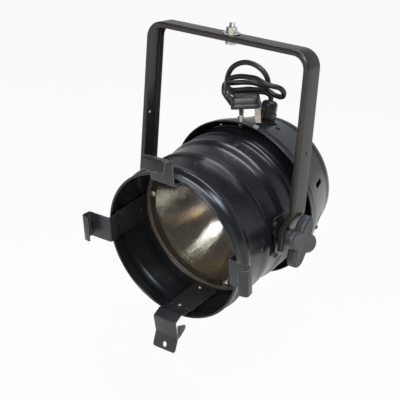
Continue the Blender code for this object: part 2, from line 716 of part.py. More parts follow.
def make_knob(name, pivot, axis, inner, stud_end):
    """A four-lobed knob with a blind bore for the stud's end."""
    sides = 40
    middle = inner + KNOB_STANDOFF + KNOB_THICKNESS / 2
    bm = bmesh.new()
    bmesh.ops.create_cone(bm, cap_ends=True, segments=sides, radius1=1.0, radius2=1.0, depth=KNOB_THICKNESS,
                          matrix=Matrix.Translation((0, 0, middle)))
    for vert in bm.verts:
        turn = math.atan2(vert.co.y, vert.co.x)
        lobe = (0.5 + 0.5 * math.cos(4 * turn)) ** 0.75
        reach = KNOB_WAIST + (KNOB_RADIUS - KNOB_WAIST) * lobe
        vert.co.x = reach * math.cos(turn)
        vert.co.y = reach * math.sin(turn)
    knob = add("knob_" + name, to_mesh(bm, "knob_" + name), KNOB_PLASTIC, None, pivot, axis)
    knob.rotation_euler = (Matrix.Rotation(KNOB_TURN, 4, "X") @ Matrix.Rotation(axis[1], 4, "Y")).to_euler()
    edges = knob.modifiers.new("Edges", "BEVEL")
    edges.width = KNOB_EDGE
    edges.segments = 1
    boss = turned("knob_boss_" + name,
                  [(middle, 0.0), (middle, KNOB_BOSS_RADIUS), (inner, KNOB_BOSS_RADIUS), (inner, 0.0)],
                  KNOB_PLASTIC, None, pivot, axis, steps=24)
    boolean(knob, as_cutter(boss), "UNION")
    bore_top = stud_end + GAP
    bore = turned("knob_bore_" + name,
                  [(bore_top, 0.0), (bore_top, STUD_RADIUS + GAP), (inner - GAP, STUD_RADIUS + GAP),
                   (inner - GAP, 0.0)], KNOB_PLASTIC, None, pivot, axis, steps=20)
    boolean(knob, as_cutter(bore))


# Colour-frame clips and latch

LEG_AT_WALL = math.sqrt(((COLLAR_RADIUS - TUBE_WALL) * FACET - GAP) ** 2 - (LATCH_WIDTH / 2) ** 2)


def rivet_leg(leg, angle):
    """Joins a leg inside the tube with its two rivets through the tube's wall."""
    bottom = LEG_AT_WALL - CLIP_SHEET + BITE
    for kind, (turn, station) in zip(("front", "rear"), RIVETS[angle]):
        profile = [(bottom, RIVET_RADIUS), (bottom, RIVET_HEAD_RADIUS),
                   (bottom - RIVET_HEAD_HEIGHT, RIVET_HEAD_RADIUS * 0.5), (bottom - RIVET_HEAD_HEIGHT, 0.0)]
        if kind == "front":
            profile = [(COLLAR_RADIUS, 0.0), (COLLAR_RADIUS, RIVET_RADIUS)] + profile
        else:
            top = band_radius(station) + GAP
            profile = [(top + RIVET_HEAD_HEIGHT, 0.0), (top + RIVET_HEAD_HEIGHT, RIVET_HEAD_RADIUS * 0.5),
                       (top, RIVET_HEAD_RADIUS), (top, RIVET_RADIUS)] + profile
        name = f"{leg.name}_{kind}_rivet"
        rivet = place(turned(name, profile, ZINC, HEAD, steps=8), radial_frame(turn, station, 0.0))
        boolean(leg, as_cutter(rivet), "UNION")


def make_clip(name, angle, flare, lip_length):
    """A fixed clip: a leg inside the tube, a plate before the rim and a channel."""
    outer = CLIP_SLOT_RADIUS + CLIP_SHEET
    plate_back = CLIP_PLATE - CLIP_SHEET
    lean = flare * lip_length / CLIP_SLOT_DEPTH
    points = [(CLIP_LEG_REAR, LEG_AT_WALL), (CLIP_JOGGLE_REAR, LEG_AT_WALL), (CLIP_JOGGLE_FRONT, CLIP_NECK),
              (plate_back, CLIP_NECK), (plate_back, outer), (CLIP_LIP, outer + flare),
              (CLIP_LIP + lean, outer + flare - lip_length)]
    outside = CLIP_BEND + CLIP_SHEET
    path = rounded(points, [outside, CLIP_BEND, CLIP_BEND, outside, outside], count=2)
    clip = strip("frame_clip_" + name, path, CLIP_WIDTH, CLIP_SHEET, CLIP_PAINT, angle)
    rivet_leg(clip, angle)


def make_latch():
    """The bottom latch: a riveted leg, and a sprung strip that holds the frame in."""
    leg_path = [(CLIP_LEG_REAR, LEG_AT_WALL), (CLIP_JOGGLE_REAR, LEG_AT_WALL)]
    rivet_leg(strip("latch_leg", leg_path, CLIP_WIDTH, CLIP_SHEET, CLIP_PAINT, LATCH_ANGLE),
              LATCH_ANGLE)
    hinge = (CLIP_JOGGLE_REAR + GAP, LEG_AT_WALL - CLIP_SHEET / 2)
    points = [(CLIP_JOGGLE_REAR + GAP, LEG_AT_WALL), (CLIP_JOGGLE_REAR + CLIP_SHEET, LEG_AT_WALL),
              (CLIP_JOGGLE_FRONT, CLIP_NECK), (RIM_STATION + CLIP_SHEET, CLIP_NECK), LATCH_HUMP, LATCH_CATCH,
              LATCH_HEEL, LATCH_TIP]
    outside = CLIP_BEND + CLIP_SHEET
    path = rounded(points, [outside, CLIP_BEND, outside, CLIP_BEND, CLIP_BEND, 0.006], count=2)
    latch = strip("frame_latch", path, LATCH_WIDTH, CLIP_SHEET, CLIP_PAINT, LATCH_ANGLE, hinge)
    tip, heel = Vector(LATCH_TIP), Vector(LATCH_HEEL)
    along = (tip - heel).normalized()
    hole = tip - along * LATCH_HOLE_FROM_TIP
    lean = math.atan2(along.y, along.x)
    drill(latch, "latch_hole", [radial_frame(LATCH_ANGLE, hole.x, hole.y, lean)], LATCH_HOLE_RADIUS, 0.010)
    boolean(latch, as_cutter(latch_ear()), "UNION")


def latch_ear():
    """The side ear that closes the slot beside the frame, in the plane of the strip's edge."""
    outline = [(LATCH_HEEL[0] + before, LATCH_HEEL[1] + out) for before, out in LATCH_EAR_OUTLINE]
    bm = bmesh.new()
    low = -LATCH_WIDTH / 2 - LATCH_EAR_SHEET + GAP
    face = bm.faces.new([bm.verts.new((low, -station, radius)) for station, radius in outline])
    raised = bmesh.ops.extrude_face_region(bm, geom=[face])["geom"]
    bmesh.ops.translate(bm, vec=(LATCH_EAR_SHEET, 0, 0),
                        verts=[item for item in raised if isinstance(item, bmesh.types.BMVert)])
    bmesh.ops.recalc_face_normals(bm, faces=bm.faces)
    ear = add("latch_ear", to_mesh(bm, "latch_ear", smooth=False), CLIP_PAINT, HEAD)
    return place(ear, radial_frame(LATCH_ANGLE, 0.0, 0.0))


# Rear bell

SKIRT_LENGTH = BELL_FRONT - BELL_LIP_LENGTH - BELL_CREASE
CONE_SLOPE = math.atan2(BELL_LIP_REAR_RADIUS - BELL_CREASE_RADIUS, SKIRT_LENGTH)


def skirt_radius(station):
    """Outer radius of the bell's conical skirt."""
    back = BELL_FRONT - BELL_LIP_LENGTH - station
    return BELL_LIP_REAR_RADIUS - back * math.tan(CONE_SLOPE)


def bell_outline(inset):
    """The bell's side from front to rear, set in from its outer face."""
    step = 0.0006
    lip_rear = BELL_FRONT - BELL_LIP_LENGTH
    outline = [(BELL_FRONT, BELL_FRONT_RADIUS - inset), (lip_rear, BELL_LIP_REAR_RADIUS - inset),
               (lip_rear - step, skirt_radius(lip_rear) - step - inset),
               (BELL_CREASE, BELL_CREASE_RADIUS - inset)]
    centre = (BELL_CREASE, BELL_FLAT_RADIUS)
    radii = (BELL_REAR - BELL_CREASE + inset, BELL_CREASE_RADIUS - BELL_FLAT_RADIUS - inset)
    outline += arc(centre, radii, 90, 0, 5)[1:]
    return outline + [(BELL_REAR + inset, 0.0)]


def make_bell():
    """The spun bell with a rolled lip, vent slots and the gland's hole."""
    outer = bell_outline(0.0)
    inner = list(reversed(bell_outline(BELL_WALL)))
    roll = arc((BELL_FRONT, BELL_FRONT_RADIUS - BELL_WALL / 2), (BELL_WALL, BELL_WALL), -120, 120, 3)
    bell = turned("rear_bell", inner[:-1] + roll + outer[1:], BLACK_PAINT, HEAD, rotation=FORWARD)
    bm = bmesh.new()
    for i in range(SLOT_COUNT):
        frame = radial_frame(SLOT_FIRST_ANGLE + i * 360 / SLOT_COUNT, SLOT_STATION,
                             skirt_radius(SLOT_STATION), CONE_SLOPE)
        made = bmesh.ops.create_cube(bm, size=1.0)["verts"]
        bmesh.ops.scale(bm, vec=(SLOT_WIDTH, SLOT_LENGTH, 8 * BELL_WALL), verts=made)
        bmesh.ops.transform(bm, matrix=frame, verts=made)
    slots = as_cutter(add("bell_slots", to_mesh(bm, "bell_slots", smooth=False), BLACK_PAINT, HEAD))
    boolean(bell, slots)
    drill(bell, "bell_gland_hole", [GLAND_FRAME], GLAND_NECK_RADIUS + BOLT_CLEARANCE, 0.012, sides=20)
    drill(bell, "bell_fastener_holes", skirt_screw_frames() + [earth_frame()],
          SCREW_RADIUS + SCREW_CLEARANCE, 0.010, sides=8)


def bell_screw_frames():
    """Two screws in each bell bracket, biting into its leaf over the tube."""
    top = BANDS[-1][3] + GAP + BRACKET_SHEET - BITE
    return [radial_frame(angle + sign * BELL_SCREW_SPREAD, BELL_SCREW_STATION, top)
            for angle in BRACKET_ANGLES for sign in (-1, 1)]


def skirt_screw_frames():
    """One screw through the skirt into each bell bracket."""
    return [radial_frame(angle, SKIRT_SCREW_STATION, skirt_radius(SKIRT_SCREW_STATION) + GAP, CONE_SLOPE)
            for angle in BRACKET_ANGLES]


def make_bell_brackets():
    """Three curved brackets from the tube's rear band to the skirt's inner face."""
    tube_face = BANDS[-1][3] + GAP + BRACKET_SHEET
    skirt_inset = (BELL_WALL + 2 * GAP) / math.cos(CONE_SLOPE)
    path = [(BRACKET_FRONT, tube_face), (BRACKET_KNEE, tube_face),
            (BRACKET_LANDING, skirt_radius(BRACKET_LANDING) - skirt_inset),
            (BRACKET_REAR, skirt_radius(BRACKET_REAR) - skirt_inset)]
    steps = 5
    for index, middle in enumerate(BRACKET_ANGLES, start=1):
        name = f"bell_bracket_{index}"

        def point(row, column, middle=middle):
            station, radius = path[column]
            turn = math.radians(middle + BRACKET_SPAN * (row / steps - 0.5))
            return (radius * math.cos(turn), -station, radius * math.sin(turn))

        bracket = add(name, sheet(name, steps + 1, len(path), point), BLACK_PAINT, HEAD)
        thicken(bracket, BRACKET_SHEET)
        skirt_frame = skirt_screw_frames()[index - 1]
        drill(bracket, name + "_hole", [skirt_frame], SCREW_RADIUS + SCREW_CLEARANCE, 0.010, sides=8)
        boolean(bracket, screw_heads(name + "_screws", bell_screw_frames()[2 * index - 2:2 * index],
                                     BRACKET_SHEET + SCREW_INSIDE, ZINC, HEAD), "UNION")
        screw(f"skirt_screw_{index}", skirt_frame, 2 * GAP + BRACKET_SHEET + SCREW_INSIDE, BLACK_PAINT, HEAD)


# Lamp, seat and guard

LAMP_FRONT = SEAT_REAR - GAP
REFLECTOR_FRONT = LAMP_FRONT - LAMP_RIM_THICKNESS - GAP
REFLECTOR_MOUTH = LAMP_RIM_RADIUS - 0.003
FOCAL_LENGTH = REFLECTOR_MOUTH ** 2 / (4 * (REFLECTOR_FRONT - REFLECTOR_VERTEX))


def make_seat_and_guard():
    """The ring that the lamp sits against, and the mesh guard screwed to its front."""
    turned("lamp_seat", [(SEAT_FRONT, SEAT_GUARD_BORE), (SEAT_FRONT, SEAT_OUTER), (SEAT_REAR, SEAT_OUTER),
                         (SEAT_REAR, SEAT_LAMP_BORE), (SEAT_REAR + SEAT_SHEET, SEAT_LAMP_BORE),
                         (SEAT_REAR + SEAT_SHEET, SEAT_OUTER - SEAT_SHEET),
                         (SEAT_FRONT - SEAT_SHEET, SEAT_OUTER - SEAT_SHEET),
                         (SEAT_FRONT - SEAT_SHEET, SEAT_GUARD_BORE)], BLACK_PAINT, HEAD, rotation=FORWARD)
    seat = bpy.data.objects["lamp_seat"]
    guard_back = SEAT_FRONT + GAP
    guard_front = guard_back + GUARD_THICKNESS
    disc = [(guard_front, 0.0), (guard_front, GUARD_RADIUS), (guard_back, GUARD_RADIUS), (guard_back, 0.0)]
    guard = turned("mesh_guard", disc, WIRE_MESH, HEAD, rotation=FORWARD)
    turned("guard_rim", ring_section(guard_back + GUARD_RIM_THICKNESS, guard_back, GUARD_RIM_OUTER,
                                     GUARD_RADIUS + GAP), BLACK_PAINT, HEAD, rotation=FORWARD)
    frames = [Matrix.Rotation(math.radians(-angle), 4, "Y") @ Matrix.Translation((GUARD_SCREW_RADIUS, 0, 0))
              @ Matrix.Rotation(math.pi / 2, 4, "X") for angle in GUARD_SCREW_ANGLES]
    hole_frames = [frame @ Matrix.Translation((0, 0, SEAT_FRONT)) for frame in frames]
    for target in (seat, guard):
        hole = SCREW_RADIUS + SCREW_CLEARANCE
        drill(target, target.name + "_screw_holes", hole_frames, hole, 0.006, sides=8)
    washer_back = guard_front + GAP
    washer_front = washer_back + GUARD_WASHER_THICKNESS
    for index, frame in enumerate(frames, start=1):
        head = [(washer_front + height, radius) for height, radius in screw_profile(0.0)[:4]]
        profile = head + [(washer_front, GUARD_WASHER_RADIUS), (washer_back, GUARD_WASHER_RADIUS),
                          (washer_back, SCREW_RADIUS), (SEAT_FRONT - SCREW_INSIDE, SCREW_RADIUS),
                          (SEAT_FRONT - SCREW_INSIDE, 0.0)]
        place(turned(f"guard_screw_{index}", profile, ZINC, HEAD, steps=12), frame)


def reflector_side(inset):
    """Half of the parabola, from mouth to neck, its inner face set out by a wall."""
    points = []
    count = 7
    for i in range(count + 1):
        radius = REFLECTOR_MOUTH + (REFLECTOR_NECK - REFLECTOR_MOUTH) * i / count
        station = REFLECTOR_VERTEX + radius ** 2 / (4 * FOCAL_LENGTH)
        slope = radius / (2 * FOCAL_LENGTH)
        scale = inset / math.hypot(slope, 1.0)
        points.append((station - scale, radius + scale * slope))
    return points


def make_lamp():
    """The sealed-beam lamp: lens, reflector, burner capsule and base with prongs."""
    lens_back = LAMP_FRONT - LAMP_RIM_THICKNESS
    dome_edge = SEAT_LAMP_BORE - 2 * GAP
    dome = [(LAMP_FRONT + LENS_DOME * (1 - (i / 5) ** 2), dome_edge * i / 5) for i in range(6)]
    cup = [(station - LENS_WALL, radius * 0.97) for station, radius in reversed(dome)]
    turned("lamp_lens", dome + [(LAMP_FRONT, LAMP_RIM_RADIUS), (lens_back, LAMP_RIM_RADIUS),
                                (lens_back, cup[0][1])] + cup[1:], GLASS, HEAD, rotation=FORWARD)
    outer = reflector_side(REFLECTOR_WALL)
    outer[-1] = (outer[-1][0], REFLECTOR_NECK)
    inner = list(reversed(reflector_side(0.0)))
    flange = [(REFLECTOR_FRONT, REFLECTOR_MOUTH), (REFLECTOR_FRONT, LAMP_RIM_RADIUS),
              (REFLECTOR_FRONT - LAMP_RIM_THICKNESS, LAMP_RIM_RADIUS)]
    turned("lamp_reflector", flange + outer[1:] + inner[:-1], REFLECTOR, HEAD, rotation=FORWARD)
    neck_back = outer[-1][0]
    base_front = neck_back - GAP
    base_back = base_front - LAMP_BASE_LENGTH
    base = turned("lamp_base", [(base_front, 0.0), (base_front, LAMP_BASE_RADIUS),
                                (base_back, LAMP_BASE_RADIUS * 0.9), (base_back, 0.0)],
                  CERAMIC, HEAD, rotation=FORWARD, steps=28)
    width, height, length = PRONG_SIZE
    prong_middle = base_back - length / 2 + 0.002
    prongs = joined_boxes("lamp_prong_shapes", (width, length, height),
                          [(side * PRONG_SPREAD, -prong_middle, 0.0) for side in (-1, 1)], BRASS, HEAD)
    boolean(base, as_cutter(prongs), "UNION")
    capsule_back = base_front + GAP
    capsule_front = capsule_back + CAPSULE_LENGTH
    crown = arc((capsule_front - CAPSULE_RADIUS, 0.0), (CAPSULE_RADIUS, CAPSULE_RADIUS), 0, 90, 4)
    turned("lamp_capsule", crown + [(capsule_back, CAPSULE_RADIUS), (capsule_back, 0.0)], GLASS, HEAD,
           rotation=FORWARD, steps=20)
    hoop_station = REFLECTOR_FRONT - LAMP_RIM_THICKNESS - GAP - SPRING_WIRE
    hoop_radius = band_radius(hoop_station) - TUBE_WALL - GAP - SPRING_WIRE
    hoop = arc((hoop_station, hoop_radius), (SPRING_WIRE, SPRING_WIRE), 90, 450, 5)[:-1]
    turned("lamp_spring_ring", hoop, ZINC, HEAD, rotation=FORWARD)
    return base_back


def make_socket(base_back):
    """Ceramic socket on the prongs, terminal block on the bell and the leads between."""
    width, height, length = SOCKET_SIZE
    socket_front = base_back - GAP
    socket_middle = socket_front - length / 2
    frame = Matrix.Translation((0, -socket_middle, 0))
    socket = box("lamp_socket", (width, length, height), CERAMIC, HEAD, frame, edge=0.0015)
    prong_width, prong_height, prong_length = PRONG_SIZE
    slot = (prong_width + 2 * GAP, 2 * prong_length, prong_height + 2 * GAP)
    slots = joined_boxes("socket_slots", slot,
                         [(side * PRONG_SPREAD, -base_back, 0.0) for side in (-1, 1)], CERAMIC, HEAD)
    boolean(socket, as_cutter(slots))
    block_width, block_depth, block_height = BLOCK_SIZE
    bell_floor = BELL_REAR + BELL_WALL + GAP
    block_middle = bell_floor + block_depth / 2
    box("terminal_block", (block_width, block_depth, block_height), CERAMIC, HEAD,
        Matrix.Translation((0, -block_middle, BLOCK_HEIGHT)), edge=0.001)
    socket_back = socket_front - length
    for name, side in (("left", -1), ("right", 1)):
        x = side * LEAD_SPREAD
        start = Vector((x, -(socket_back - GAP), -height / 4))
        end = Vector((x, -block_middle, BLOCK_HEIGHT - block_height / 2 - GAP))
        middle = Vector((x, -block_middle - 0.001, start.z + 0.004))
        tube("lamp_lead_" + name, smooth_points([start, start + Vector((0, 0.006, 0)), middle, end], 0.006),
             LEAD_RADIUS, LEAD_SLEEVE, HEAD)
    block_top = BLOCK_HEIGHT + block_height / 2 + GAP
    gland_in = GLAND_FRAME @ Vector((0, 0, -GLAND_NECK_INSIDE - GAP))
    down = GLAND_FRAME.to_3x3() @ Vector((0, 0, -1))
    route = [gland_in, gland_in + down * 0.014, Vector((0, -block_middle - 0.002, block_top + 0.014)),
             Vector((0, -block_middle, block_top))]
    tube("inner_cord", smooth_points(route, 0.006), CORD_RADIUS - GAP, CORD_RUBBER, HEAD)


def earth_frame():
    """Where the earth screw goes through the skirt beside a vent slot."""
    station = SLOT_STATION
    return radial_frame(70.9, station, skirt_radius(station) + GAP, CONE_SLOPE)


# Gland, cord and plug

GLAND_FRAME = radial_frame(GLAND_ANGLE, GLAND_STATION, skirt_radius(GLAND_STATION), CONE_SLOPE)


def make_gland():
    """Gland neck, base nut, domed cap and the lock nut inside the bell."""
    seat = empty("gland_seat", (0, 0, 0), parent=HEAD)
    place(seat, GLAND_FRAME)
    cord_bore = CORD_RADIUS + GAP
    nut_bore = (GLAND_NECK_RADIUS + GAP) / math.cos(math.pi / 6)
    turned("gland_neck", ring_section(GLAND_NECK_OUTSIDE, -GLAND_NECK_INSIDE, GLAND_NECK_RADIUS, cord_bore),
           BLACK_PLASTIC, seat, steps=20)
    nut_top = GAP + GLAND_NUT_HEIGHT
    turned("gland_nut", ring_section(nut_top, GAP, GLAND_NUT_RADIUS, nut_bore), BLACK_PLASTIC, seat, steps=6)
    cap_bottom = nut_top + GAP
    cap_top = cap_bottom + GLAND_DOME_HEIGHT
    cavity = GLAND_NECK_OUTSIDE + GAP
    round_start = cap_bottom + GLAND_DOME_HEIGHT * 0.45
    crown = CORD_RADIUS + 0.0022
    side = arc((round_start, crown), (cap_top - round_start, GLAND_DOME_RADIUS - crown), 0, 90, 4)
    neck_bore = GLAND_NECK_RADIUS + GAP
    hollow = [(cap_bottom, GLAND_DOME_RADIUS), (cap_bottom, neck_bore), (cavity, neck_bore),
              (cavity, cord_bore), (cap_top, cord_bore)]
    turned("gland_cap", side + hollow, BLACK_PLASTIC, seat, steps=20)
    inside = skirt_radius(GLAND_STATION) - BELL_WALL
    sag = GLAND_NUT_RADIUS ** 2 / (2 * inside)
    locknut_top = -BELL_WALL / math.cos(CONE_SLOPE) - sag - GAP
    turned("gland_locknut", ring_section(locknut_top, locknut_top - GLAND_LOCKNUT_HEIGHT, GLAND_NUT_RADIUS,
                                         nut_bore), ZINC, seat, steps=6)
    screw("earth_screw", earth_frame(), BELL_WALL + 2 * SCREW_INSIDE, ZINC, HEAD)
    return GLAND_FRAME @ Vector((0, 0, cap_top))


def smooth_points(route, spacing):
    """Evenly spaced points on a smooth curve through a route."""
    route = [Vector(point) for point in route]
    ends = [2 * route[0] - route[1]] + route + [2 * route[-1] - route[-2]]
    dense = []
    for p0, p1, p2, p3 in zip(ends, ends[1:], ends[2:], ends[3:]):
        knots = [0.0]
        for a, b in ((p0, p1), (p1, p2), (p2, p3)):
            knots.append(knots[-1] + math.sqrt((b - a).length))
        for i in range(16):
            t = knots[1] + (knots[2] - knots[1]) * i / 16
            dense.append(centripetal((p0, p1, p2, p3), knots, t))
    dense.append(route[-1])
    lengths = [0.0]
    for a, b in zip(dense, dense[1:]):
        lengths.append(lengths[-1] + (b - a).length)
    count = max(2, round(lengths[-1] / spacing))
    points = []
    index = 0
    for i in range(count + 1):
        target = lengths[-1] * i / count
        while index < len(dense) - 2 and lengths[index + 1] < target:
            index += 1
        share = (target - lengths[index]) / (lengths[index + 1] - lengths[index])
        points.append(dense[index].lerp(dense[index + 1], share))
    return points


def centripetal(points, knots, t):
    """A point of a centripetal Catmull-Rom curve at a knot value."""
    p0, p1, p2, p3 = points
    t0, t1, t2, t3 = knots
    a1 = p0.lerp(p1, (t - t0) / (t1 - t0))
    a2 = p1.lerp(p2, (t - t1) / (t2 - t1))
    a3 = p2.lerp(p3, (t - t2) / (t3 - t2))
    b1 = a1.lerp(a2, (t - t0) / (t2 - t0))
    b2 = a2.lerp(a3, (t - t1) / (t3 - t1))
    return b1.lerp(b2, (t - t1) / (t2 - t1))


def tube(name, points, radius, finish, parent):
    """A round tube through points, with filled ends."""
    curve = bpy.data.curves.new(name, "CURVE")
    curve.dimensions = "3D"
    curve.bevel_depth = radius
    curve.bevel_resolution = 2
    curve.use_fill_caps = True
    spline = curve.splines.new("POLY")
    spline.points.add(len(points) - 1)
    for target, point in zip(spline.points, points):
        target.co = (*point, 1.0)
    return add(name, curve, finish, parent)


def make_plug():
    """The mains plug lying on its pins, its face towards the bell."""
    surface = skirt_radius(PLUG_STATION)
    lift = PIN_SPREAD / 2 * math.sin(PLUG_ROLL) + LINE_PIN[2] * math.cos(PLUG_ROLL) + 4 * GAP
    frame = radial_frame(90.0, PLUG_STATION, surface + lift, CONE_SLOPE)
    frame = Matrix.Translation((PLUG_OFFSET, 0, 0)) @ frame @ Matrix.Rotation(PLUG_TURN, 4, "Z")
    frame = frame @ Matrix.Rotation(-PLUG_ROLL, 4, "Y")
    seat = empty("plug_seat", (0, 0, 0), parent=HEAD)
    place(seat, frame)
    body_middle = Matrix.Translation((-PLUG_BEHIND_PINS, 0, PLUG_DEPTH / 2))
    size = (PLUG_LENGTH, PLUG_BREADTH, PLUG_DEPTH)
    body = box("plug_body", size, BLACK_PLASTIC, seat, body_middle, PLUG_EDGE)
    for vert in body.data.vertices:
        if vert.co.z > 0:
            vert.co.x *= PLUG_TAPER
            vert.co.y *= PLUG_TAPER
    line_x = -PIN_SPREAD / 2
    for name, side in (("live", -1), ("neutral", 1)):
        box(f"plug_{name}_pin", (LINE_PIN[0], LINE_PIN[1], LINE_PIN[2] - GAP), BRASS, seat,
            Matrix.Translation((line_x, side * PIN_SPREAD / 2, -(LINE_PIN[2] + GAP) / 2)), 0.0004)
    box("plug_earth_pin", (EARTH_PIN[0], EARTH_PIN[1], EARTH_PIN[2] - GAP), BRASS, seat,
        Matrix.Translation((PIN_SPREAD / 2, 0.0, -(EARTH_PIN[2] + GAP) / 2)), 0.0004)
    side_x = -PLUG_BEHIND_PINS - PLUG_LENGTH / 2 * (1 + PLUG_TAPER) / 2
    slant = math.atan2(PLUG_LENGTH / 2 * (1 - PLUG_TAPER), PLUG_DEPTH)
    grip = turned("plug_grip", [(CORD_GRIP_LENGTH, 0.0), (CORD_GRIP_LENGTH, CORD_RADIUS + 0.0006),
                                (0.0, CORD_GRIP_RADIUS), (-CORD_GRIP_ROOT, CORD_GRIP_RADIUS),
                                (-CORD_GRIP_ROOT, 0.0)], BLACK_PLASTIC, seat, steps=16)
    turn = Matrix.Rotation(-math.pi / 2 + slant + CORD_GRIP_LEAN, 4, "Y")
    place(grip, Matrix.Translation((side_x, 0, CORD_GRIP_HEIGHT)) @ turn)
    mouth = frame @ grip.matrix_basis
    boolean(body, as_cutter(grip), "UNION")
    return [mouth @ Vector((0, 0, CORD_GRIP_LENGTH + distance)) for distance in (0.0050, 0.0014)]


def make_cord(gland_top, grip_points):
    """The tied-up cord, from inside the gland's cap to the plug's grip."""
    inward = GLAND_FRAME.to_3x3() @ Vector((0, 0, -1))
    start = gland_top + inward * (GLAND_DOME_HEIGHT * 0.2)
    exit_point = gland_top - inward * (GLAND_DOME_HEIGHT * 0.3)
    route = [start, gland_top, exit_point] + [Vector(point) for point in CORD_ROUTE] + grip_points
    tube("cord", smooth_points(route, CORD_POINT_SPACING), CORD_RADIUS, CORD_RUBBER, HEAD)


make_yoke()
make_hanging_bolt()
make_nose_tube()
make_pivot("right", 0.0)
make_pivot("left", 180.0)
for clip_name, clip_sizes in CLIPS.items():
    make_clip(clip_name, *clip_sizes)
make_latch()
make_bell()
make_bell_brackets()
make_seat_and_guard()
make_socket(make_lamp())
cap_mouth = make_gland()
make_cord(cap_mouth, make_plug())
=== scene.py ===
"""The looks of a par can: a spun lamp head that tilts in a channel yoke.

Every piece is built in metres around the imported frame. Pieces of the head are
shaped in the head's frame, where +X is the tilt axis, -Y points forward along
the lamp's axis and +Z is up, and are then turned to where the head hangs. A
"station" is a distance forward of the tilt axis along the lamp's axis, and an
"angle" runs round that axis from +X towards +Z.
"""
from __future__ import annotations

import json
import logging
import math
from dataclasses import dataclass, field
from enum import Enum
from typing import Callable, Iterable, Sequence

import bmesh
import bpy
from mathutils import Matrix, Vector, noise

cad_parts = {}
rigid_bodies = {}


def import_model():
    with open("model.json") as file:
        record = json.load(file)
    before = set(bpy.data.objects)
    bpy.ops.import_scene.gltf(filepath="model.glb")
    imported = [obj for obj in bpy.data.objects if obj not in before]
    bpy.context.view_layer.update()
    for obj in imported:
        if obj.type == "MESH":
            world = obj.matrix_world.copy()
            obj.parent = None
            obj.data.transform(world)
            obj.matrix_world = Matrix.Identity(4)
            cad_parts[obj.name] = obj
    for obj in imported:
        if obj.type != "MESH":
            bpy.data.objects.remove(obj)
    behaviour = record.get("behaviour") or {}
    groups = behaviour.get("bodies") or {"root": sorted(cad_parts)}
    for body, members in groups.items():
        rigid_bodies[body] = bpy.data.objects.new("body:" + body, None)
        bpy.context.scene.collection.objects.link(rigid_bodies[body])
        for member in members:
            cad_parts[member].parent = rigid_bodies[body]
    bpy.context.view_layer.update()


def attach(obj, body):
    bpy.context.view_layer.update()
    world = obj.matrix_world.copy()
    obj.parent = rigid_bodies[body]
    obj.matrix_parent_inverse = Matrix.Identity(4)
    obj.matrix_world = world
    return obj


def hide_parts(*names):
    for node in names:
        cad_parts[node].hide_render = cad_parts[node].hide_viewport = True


LOG = logging.getLogger("par_can")

Point = Sequence[float]
Colour = tuple[float, float, float]

GAP = 0.0003
PIVOT_DROP = 0.253
NOSE_DOWN = math.radians(11.0)
PIVOT = Matrix.Translation((0.0, 0.0, -PIVOT_DROP))
HEAD = PIVOT @ Matrix.Rotation(NOSE_DOWN, 4, "X")
TURNS = 160
BREAK = 0.0003
MERGE = 1e-6


class Body(Enum):
    """The bodies that pieces ride on."""

    YOKE = "yoke"
    HEAD = "head"
    KNOB_LEFT = "knob_left"
    KNOB_RIGHT = "knob_right"
    LATCH = "latch"


class Side(Enum):
    """A side of the yoke: its name and the direction of its leg along X."""

    LEFT = -1
    RIGHT = 1

    @property
    def label(self) -> str:
        """The side's name in lower case."""
        return self.name.lower()

    @property
    def angle(self) -> float:
        """The side's angle round the lamp's axis, in degrees."""
        return 0.0 if self is Side.RIGHT else 180.0


# Shader maths


class Value:
    """A socket in a node tree that takes part in shader maths."""

    def __init__(self, graph: "Tree", socket: bpy.types.NodeSocket) -> None:
        """Wraps a socket.

        Args:
            graph: The tree that the socket is in.
            socket: An output socket.
        """
        self.graph = graph
        self.socket = socket

    def _math(self, operation: str, *operands: "Value | float") -> "Value":
        """Adds one Math node on the operands."""
        inputs = dict(enumerate(operands))
        return self.graph.node("ShaderNodeMath", {"operation": operation}, inputs)

    def __add__(self, other: "Value | float") -> "Value":
        """This value plus another."""
        return self._math("ADD", self, other)

    __radd__ = __add__

    def __sub__(self, other: "Value | float") -> "Value":
        """This value less another."""
        return self._math("SUBTRACT", self, other)

    def __rsub__(self, other: float) -> "Value":
        """Another value less this one."""
        return self._math("SUBTRACT", other, self)

    def __mul__(self, other: "Value | float") -> "Value":
        """This value times another."""
        return self._math("MULTIPLY", self, other)

    __rmul__ = __mul__

    def __pow__(self, other: "Value | float") -> "Value":
        """This value to a power."""
        return self._math("POWER", self, other)

    def larger(self, other: "Value | float") -> "Value":
        """The larger of this value and another."""
        return self._math("MAXIMUM", self, other)

    def ramp(self, low: float, high: float) -> "Value":
        """A smooth step from 0 at one value to 1 at another.

        Args:
            low: The value that gives 0.
            high: The value that gives 1, which may be the lower one.

        Returns:
            The step, held between 0 and 1.
        """
        settings = {"interpolation_type": "SMOOTHSTEP", "clamp": True}
        if low <= high:
            return self.graph.node("ShaderNodeMapRange", settings, {0: self, 1: low, 2: high})
        return 1.0 - self.ramp(high, low)


